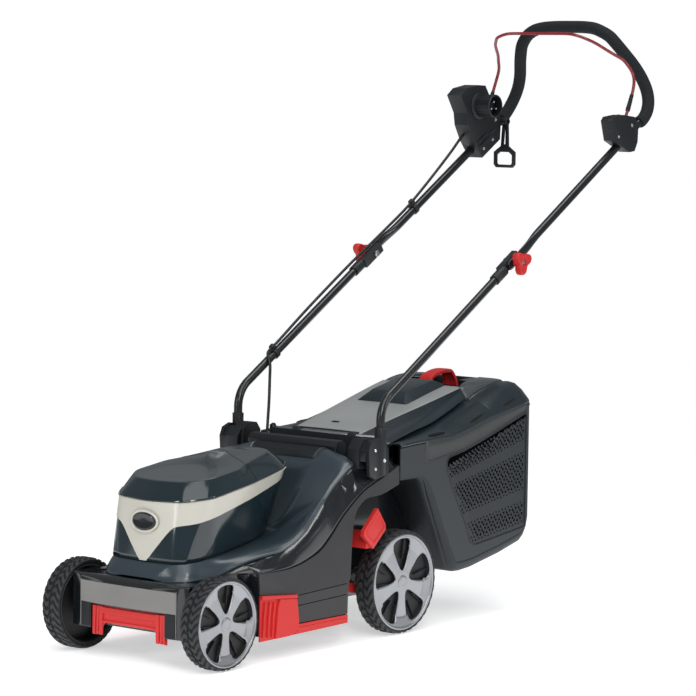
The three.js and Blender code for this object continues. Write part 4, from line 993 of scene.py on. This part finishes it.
def knob_shape():
    """Three-lobed knob with a dished face and a hexagon pocket."""
    _, y, z = along_handle(0, FOLD_AT)
    count = 96

    def ring(x, grow):
        points = []
        for k in range(count):
            angle = turn(k, count)
            radius = 19.0 + 5.8 * math.cos(3 * (angle - 0.4)) + grow
            points.append((x, y + radius * math.cos(angle), z + radius * math.sin(angle)))
        return points

    rings = [circle(x, y, z, radius, count) for x, radius in ((180.4, 8.0), (181, 9.0), (187.5, 9.6))]
    for x, grow in ((188.2, -7.0), (187.4, -2.6), (187.6, -1), (188.8, 0), (195, 0.4), (200, 0),
                    (201.8, -1), (202.5, -2.6), (202.3, -6)):
        rings.append(ring(x, grow))
    for x, radius in ((201.4, 9.2), (201.6, 7.0), (201.2, 6.0), (198.4, 5.4), (198.2, 0.1)):
        rings.append(circle(x, y, z, radius, count))
    return stack(rings)


def add_fold_joint():
    for name, _ in SIDES:
        soften(f"fold_collar_{name}", BLACK_PLASTIC, 0.9, 25)
    pair("knob_lobes_*", knob_shape(), RED, "knob_*", ["clamp_knob_*"], smooth=40)
    _, y, z = along_handle(0, FOLD_AT)
    nut = [circle(x, y, z, radius, 6) for x,
           radius in ((197.6, 4.6), (199.6, 4.6), (200.0, 4.1), (200.0, 0.1))]
    pair("knob_nut_*", stack(nut), STEEL, "knob_*", smooth=20)


def screw(name, place, side, radius, body=ROOT, look=BRIGHT_SCREW):
    """Domed screw head with a cross recess, facing outwards (1) or inwards (-1) along X."""
    x, y, z = place
    count = 24

    def ring(height, shares):
        points = []
        for k, share in enumerate(shares):
            across, up = math.cos(turn(k, count)) * radius * share, math.sin(turn(k, count)) * radius * share
            points.append((x + side * height, y - side * across, z - up))
        return points

    profile = ((-1.0, 1.0), (0.2, 1.0), (0.8, 0.9), (1.15, 0.66), (1.2, 0.5))
    cross = [0.42 if abs(math.sin(2 * turn(k, count))) < 0.4 else 0.16 for k in range(count)]
    rings = [ring(height, [share] * count) for height, share in profile] + [ring(0.4, cross)]
    piece(name, stack(rings), look, body, smooth=35)


def add_brackets():
    for name, side in SIDES:
        soften(f"handle_bracket_{name}", BLACK_PLASTIC, 1.6, 20)
        for i, (y, z) in enumerate(((408, 350), (409, 316))):
            screw(f"bracket_screw_{name}_{i + 1}", (side * 180.2, y, z), side, 3.2)
        screw(f"tube_screw_{name}", (side * 182.3, BEND_Y, 330), side, 3.8)
    socket = [(TUBE_X, BEND_Y, z) for z in (387, 388.3, 390, 391)]
    pair("socket_rim_*", sweep(socket, [10.7, 11.1, 10.4, 8.3], TUBE_SIDES), BLACK_PLASTIC)


# ------------------------------------------------------------------ switch box and cable

def add_boxes():
    soften("pivot_box", BLACK_PLASTIC, 2.2, 20)
    soften("switch_box", BLACK_PLASTIC, 2.4, 20)
    soften("cord_hook", BLACK_PLASTIC, 0.9, 25)
    soften("release_button", RED, 0.8, 25)
    screw("pivot_screw_upper", (186.2, 1206, 934), 1, 3.4, "upper_handle", STEEL)
    screw("pivot_screw_lower", (186.2, 1160, 912), 1, 3.0, "upper_handle", STEEL)
    # Painted shade: a thin dark strip along the pivot box's parting line stands for the shade in the joint.
    seam = [(173, y, z) for y,
            z in ((1134, 942.6), (1141, 951.3), (1176, 955.3), (1215, 951.3), (1229.3, 937))]
    piece("pivot_seam_shade", sweep(seam, 0.7, 6), SEAM_SHADE, "upper_handle")
    for i, (y, z) in enumerate(((1166, 880), (1196, 898), (1205, 938))):
        screw(f"switch_screw_{i + 1}", (-149.9, y, z), 1, 3.4, "upper_handle", STEEL)
    ribs = [((1152, 884), (1186, 904)), ((1144, 892), (1178, 913)), ((1186, 910), (1208, 922))]
    for i, ((y0, z0), (y1, z1)) in enumerate(ribs):
        rib = [(-149.6, y0, z0), (-149.2, (y0 + y1) / 2, (z0 + z1) / 2), (-149.6, y1, z1)]
        piece(f"switch_rib_{i + 1}", sweep(rib, [0.8, 1.7, 0.8], 10), BLACK_PLASTIC, "upper_handle")
    y, z = 1148, 967
    profile = [(-150.6, 18), (-150.6, 27), (-148.6, 27.4), (-146.5, 25.4), (-145, 23.4), (-136, 23.2),
               (-122, 23.2), (-112, 23.2), (-109.4, 23.4), (-108, 22.6), (-108.2, 20.4), (-112, 20),
               (-144, 19.4), (-144, 12), (-146, 12), (-147, 18)]
    piece("inlet_barrel", lathe_x(profile, y, z, 64), BLACK_PLASTIC, "upper_handle", ["power_inlet"],
          smooth=28)
    core = [(-147, 0.1), (-147, 15), (-124, 15), (-123, 14.2), (-123, 0.1)]
    piece("inlet_core", lathe_x(core, y, z, 48, closed=False), BLACK_PLASTIC, "upper_handle")
    for i, (dy, dz) in enumerate(((0, 9), (-8, -5), (8, -5))):
        pin = [(x, y + dy, z + dz) for x in (-124, -114, -112.6, -112)]
        piece(f"inlet_pin_{i + 1}", sweep(pin, [2.4, 2.4, 2.0, 1.2], 16), BRIGHT_SCREW, "upper_handle")
    rib_count = 10
    for k in range(rib_count):
        angle = turn(k, rib_count)
        line = [(x, y + 23.2 * math.cos(angle), z + 23.2 * math.sin(angle)) for x in (-145, -141, -120,
                                                                                      -112)]
        piece(f"inlet_rib_{k + 1}", sweep(line, [0.2, 0.9, 0.9, 0.3], 8), BLACK_PLASTIC, "upper_handle")


def add_cable():
    """The lead from the switch box, clipped along the right-hand tubes, down into the deck."""
    def above(along, height, x=-TUBE_X):
        return along_handle(x, along, height)

    route = [above(839.2, 40.3, -172), above(825, 38.6, -172), above(790, 33, -171.6), above(739, 26.8),
             above(684, 21), above(626, 16.2), above(580, 15), above(500, 16.5), above(485, 16.8),
             above(400, 19), above(250, 18), above(150, 14.3), above(124, 14), above(104, 14, -169),
             (-158, 508, 480), (-155, 504, 450), (-151, 498, 410), (-146, 488, 360), (-143, 482, 325)]
    dense = relaxed(curve_through(route, 8), 4)
    return piece("lead", sweep(dense, LEAD_RADIUS, 14), CABLE, None, smooth=50)


def clip_shape(along, lift):
    def ring(radius, height, at):
        return [along_handle(-TUBE_X + radius * math.cos(a), at, height + radius * math.sin(a))
                for a in (turn(k, 40) for k in range(40))]

    def band(inner, outer, height, half):
        rings = [ring(inner, height, along - half), ring(outer - 0.6, height, along - half),
                 ring(outer, height, along - half + 0.8), ring(outer, height, along + half - 0.8),
                 ring(outer - 0.6, height, along + half), ring(inner, height, along + half)]
        return ring_closed(stack(rings, cap_ends=False), 40)

    return combine(band(8.3, 10.6, 0, 5), band(3.0, 6.4, lift, 4))


def add_clips():
    for name, along, lift, body in (("upper", 626, 16, "upper_handle"), ("lower", 124, 14, ROOT)):
        piece(f"clip_{name}", clip_shape(along, lift), BLACK_PLASTIC, body, [f"cable_clip_{name}"],
              smooth=35,
              merge=False)


# ------------------------------------------------------------------ rear flap and grass catcher

# y, half width and height of the flat top, half width and height of the skirt
FLAP = [(488, 78, 367, 141, 350), (586, 83, 391, 130, 369), (650, 88, 406, 124, 380),
        (732, 93, 425.7, 115, 404), (772, 94, 435, 110, 416)]
FLAP_TOP_COLUMNS = 4
# y, height of the foot and of the top, half width of the foot and of the top
FLAP_HUMP = [(650, 404.5, 405, 65, 61), (656, 406, 414, 64.5, 52), (672, 409, 427, 63, 42),
             (676, 410, 429.2, 63, 41), (716, 419.5, 437.5, 62, 42), (750, 428, 445, 62, 43),
             (757, 430, 445.5, 61.5, 43.5), (768, 433, 440, 61, 54), (772, 434.5, 436, 60, 58)]
# lower edge of the lid at the sides
LID_LINE = [(497, 348), (545, 351), (600, 353), (650, 354), (695, 363), (772, 382), (901, 404)]
# y, half width and height of the crown, half width and height of the fold
LID = [(497, 74, 360.5, 134, 349), (545, 77, 373, 130, 354), (600, 80, 386, 124, 364),
       (650, 84, 398, 118, 374), (695, 88, 409, 112, 386), (772, 90, 428.5, 106, 408),
       (786, 90, 433, 109, 413), (804, 92, 438, 112, 421), (850, 94, 442, 116, 436),
       (880, 92, 442, 112, 440), (895, 90, 441.5, 104, 440), (901, 86, 437, 100, 435)]
LID_SWELL_FROM, LID_SWELL_TO, LID_SWELL = 690, 885, 10
# lower edge of the lid's grey skirt at the sides
SKIRT_LINE = [(571, 313), (604, 316), (628, 320), (657, 323), (691, 328), (745, 342), (804, 360),
              (890, 386), (901, 389.5)]


def add_flap():
    rows = []
    for y, top_x, flat_z, skirt_x, skirt_z in curve_through(FLAP, 5):
        half = [(0, flat_z + 0.8), (top_x * 0.6, flat_z + 0.6), (top_x - 2.5, flat_z + 0.3),
                (top_x, flat_z - 0.4), (top_x + 2.4, flat_z - 1.9), (skirt_x - 2, skirt_z + 0.7),
                (skirt_x, skirt_z - 0.6), (skirt_x - 0.4, skirt_z - 2.5)]
        rows.append([(x, y, z) for x, z in half])
    count = len(rows[0])
    vertices = [point for row in rows for point in row]
    faces = grid_faces(len(rows), count)
    top = [face for face in faces if face[0] % count < FLAP_TOP_COLUMNS]
    skirt = [face for face in faces if face[0] % count >= FLAP_TOP_COLUMNS]
    piece("flap_skin", whole((vertices, skirt)), LID_PETROL, "rear_flap", ["rear_flap"], smooth=24, solid=3,
          loose=True)
    piece("flap_top", whole((vertices, top)), STRIP_GREY, "rear_flap", smooth=24, solid=3, loose=True)
    hump = []
    for y, low_z, high_z, low_x, high_x in FLAP_HUMP:
        half = [(low_x, low_z), (high_x + 3, high_z - 3), (high_x, high_z - 0.6), (high_x - 3, high_z)]
        hump.append([(-x, y, z) for x, z in half] + [(x, y, z) for x, z in half[::-1]])
    piece("flap_hump", stack(hump), LID_PETROL, "rear_flap", smooth=25, bevel=1.2)
    # Painted shade: a thin dark strip on the flap stands for the shade in its slot.
    slot = [(-21, 528, 378.2), (-12, 528.5, 378.6), (-4, 529, 378.8)]
    piece("flap_slot_shade", sweep(slot, [1.2, 1.8, 1.2], 8), SEAM_SHADE, "rear_flap")
    for name, x0 in (("left", 58), ("right", -76)):
        knuckle = [(x0 + x, 483, 362) for x in (0, 1, 17, 18)]
        piece(f"flap_knuckle_{name}", sweep(knuckle, [6.6, 7.4, 7.4, 6.6], 28), BLACK_PLASTIC, "rear_flap")
    edge = [(-76, 489, 367.6), (-40, 488.6, 368), (0, 488.4, 368.2), (40, 488.6, 368), (76, 489, 367.6)]
    piece("flap_edge", sweep(edge, 1.5, 10), LID_PETROL, "rear_flap")


def lid_rows():
    """Dense lid sections, front to back, with the side pulled in round the rear corners."""
    rows = []
    for y, crown_x, crown_z, fold_x, fold_z in curve_through(LID, 5):
        side_z = height_on(LID_LINE, y)
        edge_x = 170.2 - 5.5 * max(0, (y - 882) / 19) ** 2
        share = min(1, max(0, (y - LID_SWELL_FROM) / (LID_SWELL_TO - LID_SWELL_FROM)))
        half = [(0, crown_z), (crown_x * 0.5, crown_z), (crown_x - 2, crown_z - 0.1),
                (crown_x + 1.5, crown_z - 0.8)]
        for part in (0.3, 0.65):
            half.append((between(crown_x, fold_x, part), between(crown_z, fold_z, part) + 0.4))
        half += [(fold_x - 2, fold_z + 1.2), (fold_x, fold_z + 0.2), (fold_x + 2.5, fold_z - 1.0)]
        for part in (0.25, 0.5, 0.75, 0.92):
            x = fold_x + (edge_x - 2 - fold_x) * part
            swell = (2.5 + LID_SWELL * 1.1 * share) * math.sin(math.pi * part ** 1.15)
            half.append((x, fold_z + (side_z + 5 - fold_z) * part + swell))
        half += [(edge_x - 0.9, side_z + 4.6), (edge_x, side_z + 1.5), (edge_x, side_z - 1.0)]
        rows.append([(x, y, z) for x, z in half])
    return rows


def lid_height(x, y):
    """Height of the lid's top between its middle and its fold."""
    rows = curve_through(LID, 5)
    crown_x, crown_z, fold_x, fold_z = (height_on([(row[0], row[k]) for row in rows],
                                                  y) for k in range(1, 5))
    if x <= crown_x:
        return crown_z
    return crown_z + (fold_z - crown_z) * (x - crown_x) / (fold_x - crown_x)


def add_lid():
    rows = lid_rows()
    last = rows[-1]
    lowest = height_on(LID_LINE, 901) - 1
    for back, fall in ((0.9, 1.6), (1.3, 4.5), (1.4, 12)):
        rows.append([(x * 0.998, 901 + back, min(z, max(lowest, z - fall))) for x, y, z in last])
    vertices = [point for row in rows for point in row]
    kept = []
    for face in grid_faces(len(rows), len(rows[0])):
        x = sum(vertices[i][0] for i in face) / len(face)
        y = sum(vertices[i][1] for i in face) / len(face)
        if not (x < well_half(y) - 2 and WELL_FRONT < y < WELL_REAR):
            kept.append(face)
    piece("lid_skin", whole((vertices, kept)), LID_PETROL, "catcher", ["catcher_lid"], smooth=28, solid=2.6)
    add_well()
    skin = surface_of(bpy.data.objects["lid_skin"])
    for name, side in SIDES:
        strip = []
        for y in (776, 786, 800, 820, 840, 860, 876, 890, 898):
            inner, outer = well_half(y) + 0.3, strip_outer(y)
            across = [inner + (outer - inner) * k / 5 for k in range(6)]
            strip.append([(side * x, y, lid_height(x, y) + 0.7) for x in across])
        piece(f"lid_strip_{name}", sheet(strip), CAP_GREY, "catcher", solid=-0.9)
        # Painted shade: thin dark strips laid on the lid stand for the shade in its vents and side slots.
        for i, (y0, y1, x) in enumerate(((716, 762, 163), (820, 862, 164))):
            line = [drop(skin, side * (x - 0.06 * (y1 - y0) * k / 4), y0 + (y1 - y0) * k / 4,
                         0.1) for k in range(5)]
            piece(f"lid_vent_shade_{name}_{i + 1}", sweep(line, [0.8, 2.1, 2.3, 2.1, 0.8], 8), SEAM_SHADE, "catcher")
        line = [drop(skin, side * 160, y, 0.4) for y in (592, 603, 616, 629, 640)]
        piece(f"lid_slot_shade_{name}", sweep(line, [1.5, 3.1, 3.3, 3.1, 1.5], 10), SEAM_SHADE, "catcher")
    add_lid_skirt()


def add_lid_skirt():
    """Grey skirt under the lid's edge, with a lip along its lower line."""
    rows = []
    for y in [571 + 11 * k for k in range(31)]:
        top, low = height_on(LID_LINE, y) + 0.5, height_on(SKIRT_LINE, y)
        edge_x = 170.4 - 5.5 * max(0, (y - 882) / 19) ** 2
        middle = (top + low) / 2
        rows.append([(edge_x, y, top), (edge_x + 0.4, y, (top + middle) / 2), (edge_x + 0.2, y, middle),
                     (edge_x - 0.4, y, (low + middle) / 2), (edge_x - 0.2, y, low + 2.5),
                     (edge_x + 1.1, y, low + 1.2), (edge_x + 1.3, y, low), (edge_x + 0.3, y, low - 0.9)])
    pair("lid_skirt_*", sheet(rows), BAND_GREY, "catcher", smooth=32, solid=1.6)


def add_lid_rear():
    """Rear wall of the lid, from its rounded edge down over the top of the basket."""
    edge = lid_rows()[-1]
    low_z = 395
    rows = []
    for share, out in ((0.0, -0.4), (0.02, 1.2), (0.08, 2.2), (0.5, 2.6), (0.95, 2.6), (1.0, 1.8)):
        rows.append([(x, y + out, between(z, low_z, share)) for x, y, z in edge if z > low_z])
    piece("lid_rear", whole(sheet(rows)), LID_PETROL, "catcher", smooth=32, solid=1.6)


WELL_FRONT, WELL_REAR = 778, 884
WELL_FLOOR_Z = 424.5
WELL_SIDE = [(776, 87), (800, 79), (850, 65), (884, 56), (900, 50)]
STRIP_SIDE = [(776, 108), (800, 111), (850, 114.5), (880, 111), (900, 102)]


def well_half(y):
    return height_on(WELL_SIDE, y)


def strip_outer(y):
    return height_on(STRIP_SIDE, y) - 1.5


def add_well():
    """Dark recess for the hand, with a rounded rim and a flat floor."""
    rings = []
    for share, inset in ((1.0, -2.6), (1.0, 0.4), (0.95, 0.8), (0.1, 2.4), (0.0, 5)):
        loop = []
        for y in (WELL_FRONT, 790, 810, 830, 850, 870, WELL_REAR):
            at = min(WELL_REAR - inset, max(WELL_FRONT + inset, y))
            top = height_on([(776, 430.5), (800, 438), (850, 441.5), (900, 441)], at)
            loop.append((well_half(y) - inset, at, between(WELL_FLOOR_Z, top, share)))
        rings.append(loop + [(-x, y, z) for x, y, z in reversed(loop)])
    piece("lid_well", stack_floor(rings), BLACK_PLASTIC, "catcher", solid=1.2)


def stack_floor(rings):
    """A skin over rings with its last ring filled."""
    vertices, faces = stack(rings, cap_ends=False)
    faces.append(tuple(range(len(vertices) - len(rings[0]), len(vertices))))
    return vertices, faces


def add_catcher_handle():
    """Red bow over the well: its legs are steep and its top is flat."""
    spine = [(784, 425.5, 16), (784.5, 437, 15), (788, 447, 14.5), (800, 453.5, 14.5), (827, 459.3, 14.5),
             (850, 459.2, 14.5), (859, 455, 14.5), (866, 446, 15), (871, 436, 16), (872.5, 425.5, 17)]
    dense = relaxed(curve_through(spine, 5), 2)
    rings = []
    for i, (y, z, half) in enumerate(dense):
        before, after = dense[max(i - 1, 0)], dense[min(i + 1, len(dense) - 1)]
        dy, dz = after[0] - before[0], after[1] - before[1]
        length = math.hypot(dy, dz)
        ny, nz = -dz / length, dy / length
        ring = []
        for x, lift in ((-half, -7.0), (-half, -1.4), (-half + 1.6, 0), (-half * 0.4, 0.4),
                        (half * 0.4, 0.4), (half - 1.6, 0), (half, -1.4), (half, -7.0), (half - 2.4, -7.0),
                        (half - 2.4, -3), (-half + 2.4, -3), (-half + 2.4, -7.0)):
            ring.append((x, y + ny * lift, z + nz * lift))
        rings.append(ring)
    piece("catcher_bow", stack(rings), RED, "catcher", ["catcher_handle"], bevel=0.7)


# (y, z) corners of the perforated field on each side of the basket
FIELD = [(638, 309), (643, 316), (693, 325), (745, 339), (804, 356), (888, 382), (888, 162), (840, 156),
         (790, 150), (740, 144), (724, 143), (714, 150), (709, 164), (695, 192), (674, 227), (654, 261),
         (639, 292)]
# (y, z) outline of the basket's side, and how far its wall curves in from there
BASKET_SIDE = [(495, 345, 0), (545, 348, 0), (600, 350, 0), (650, 351, 0), (695, 360, 0), (772, 379, 0),
               (880, 398, 0), (897, 401, 4), (901.4, 398, 9), (901.4, 380, 9), (901.6, 280, 9),
               (901.4, 180, 9), (898, 160, 12), (890, 144, 15), (878, 133, 18), (813, 116, 20),
               (760, 106, 20), (723, 99, 20), (690, 96, 20), (672, 96.5, 20), (660, 101, 18),
               (650, 116, 16), (622, 172, 14), (600, 218, 13), (583, 252, 12), (572, 274, 8), (560, 286, 4),
               (495, 286, 4)]


def inset_loop(loop, distances):
    """A closed (y, z) loop moved inwards by a distance at each corner."""
    area = sum(y0 * z1 - y1 * z0 for (y0, z0), (y1, z1) in zip(loop, loop[1:] + loop[:1]))
    way = 1 if area > 0 else -1
    moved = []
    for i, (y, z) in enumerate(loop):
        (ay, az), (by, bz) = loop[i - 1], loop[(i + 1) % len(loop)]
        before = Vector((y - ay, z - az)).normalized()
        after = Vector((by - y, bz - z)).normalized()
        normal = Vector((-before.y - after.y, before.x + after.x)) * way
        reach = distances[i] / max(0.5, normal.normalized().dot(Vector((-before.y, before.x)) * way))
        normal.normalize()
        moved.append((y + normal.x * reach, z + normal.y * reach))
    return moved


def round_corners(loop, radius):
    rounded = []
    for i, (y, z) in enumerate(loop):
        ends = []
        for ty, tz in (loop[i - 1], loop[(i + 1) % len(loop)]):
            reach = math.hypot(ty - y, tz - z)
            share = min(0.45, radius / reach)
            ends.append((between(y, ty, share), between(z, tz, share)))
        (ay, az), (cy, cz) = ends
        for t in (0, 0.25, 0.5, 0.75, 1):
            rounded.append(((1 - t) ** 2 * ay + 2 * t * (1 - t) * y + t * t * cy,
                            (1 - t) ** 2 * az + 2 * t * (1 - t) * z + t * t * cz))
    return rounded


def field_loop(distance):
    return round_corners(inset_loop(FIELD, [distance] * len(FIELD)), 7)


def inside_loop(loop, y, z):
    inside = False
    for (y0, z0), (y1, z1) in zip(loop, loop[1:] + loop[:1]):
        if (z0 > z) != (z1 > z) and y < y0 + (y1 - y0) * (z - z0) / (z1 - z0):
            inside = not inside
    return inside


def grille_holes():
    """Triangular holes (y, z, size, way up) in three bands of rows, steeper under the lid than low down."""
    inner, border = field_loop(4.2), field_loop(15)
    pitch_y, pitch_z = 9.8, 7.7
    holes = []
    for depth_from, count in ((9, 6), (75, 10), (171, 6)):
        for row in range(count):
            depth = depth_from + row * pitch_z
            lean = 0.12 + 0.2 * math.exp(-depth / 80)
            for k in range(30):
                y = 884 - (k + (row % 2) / 2) * pitch_y
                z = 382 - depth + (y - 888) * lean
                if inside_loop(inner, y, z):
                    small = row in (0, count - 1) or (y < 800 and not inside_loop(border, y, z))
                    holes.append((y, z, 2.8 if small else 3.9, 1 if (row + k) % 2 == 0 else -1))
    return holes


def plate_with_holes(name, x, side, loops, thickness, look):
    """A flat plate at x, filled between its outline and its holes, riding on the catcher."""
    work = bmesh.new()
    edges = []
    for loop in loops:
        ring = [work.verts.new(P(side * x, y, z)) for y, z in loop]
        for a, b in zip(ring, ring[1:] + ring[:1]):
            edges.append(work.edges.new((a, b)))
    bmesh.ops.triangle_fill(work, edges=edges, use_beauty=True, use_dissolve=False)
    bmesh.ops.recalc_face_normals(work, faces=work.faces)
    bmesh.ops.reverse_faces(work, faces=[face for face in work.faces if face.normal.x * side < 0])
    mesh = bpy.data.meshes.new(name)
    work.to_mesh(mesh)
    work.free()
    made = add_object(name, mesh)
    mesh.materials.append(look)
    thicken(made, thickness)
    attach(made, "catcher")


def add_basket():
    """Basket: a floor and front that follow the sides' outline, and sides that curve in along it."""
    outline = [(y, z) for y, z, _ in BASKET_SIDE]
    depths = [inset for _, _, inset in BASKET_SIDE]
    rings = []
    for share in (0.0, 0.06, 0.16, 0.32, 0.55, 0.78, 1.0):
        fall = 1 - math.sqrt(max(0.0, 1 - (1 - share) ** 2))
        loop = inset_loop(outline, [max(0.4, depth) * share for depth in depths])
        rings.append([(170 - depth * 0.62 * fall, y, z) for (y, z), depth in zip(loop, depths)])
    inner = [(y, z) for _, y, z in rings[-1]]
    hem = field_loop(-1.2)
    triangles = [[(y - size, z - way * size * 0.75), (y + size, z - way * size * 0.75), (y, z + way * size)]
                 for y, z, size, way in grille_holes()]
    pair("basket_curve_*", stack(rings, cap_ends=False), BAG_BLACK, "catcher", solid=2.4)
    for name, side in SIDES:
        plate_with_holes(f"basket_wall_{name}", 170.0, side, [inner, hem], 2.4, BAG_BLACK)
        plate_with_holes(f"grille_{name}", 168.8, side, [field_loop(-2.0)] + triangles, 1.6, BAG_BLACK)
        path = [(side * 169.6, y, z) for y, z in hem + hem[:1]]
        piece(f"field_rim_{name}", sweep(path, 1.5, 10, caps=False), BAG_BLACK, "catcher")
    rows = []
    for x, y, z in rings[0][8:]:
        rows.append([(x * share, y, z) for share in (0, 0.5, 0.9, 1)])
    vertices = [point for row in rows for point in row]
    kept = []
    for face in grid_faces(len(rows), 4):
        x = sum(vertices[i][0] for i in face) / 4
        y = sum(vertices[i][1] for i in face) / 4
        if not (572 < y < 612 and x < 100):
            kept.append(face)
    piece("basket_shell", whole((vertices, kept)), BAG_BLACK, "catcher", ["catcher_basket"],
          solid=2.4)
    for i, z in enumerate((200, 245, 290, 335)):
        bar = [(-150, 901.7, z), (-75, 902.6, z), (0, 902.9, z), (75, 902.6, z), (150, 901.7, z)]
        piece(f"rear_rib_{i + 1}", sweep(bar, [0.6, 2.0, 2.2, 2.0, 0.6], 12), BAG_BLACK, "catcher")


# ------------------------------------------------------------------ the whole scene

add_camera()
add_studio()
add_wheels()
add_cover()
add_side_bands()
add_side_panels()
add_skirts()
add_comb()
add_deck()
add_bumper()
add_hood()
add_tubes()
add_bail()
add_fold_joint()
add_brackets()
add_boxes()
lead = add_cable()
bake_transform(lead)
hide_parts("cable_upper", "cable_lower")
add_clips()
add_flap()
add_lid()
add_lid_rear()
add_catcher_handle()
add_basket()
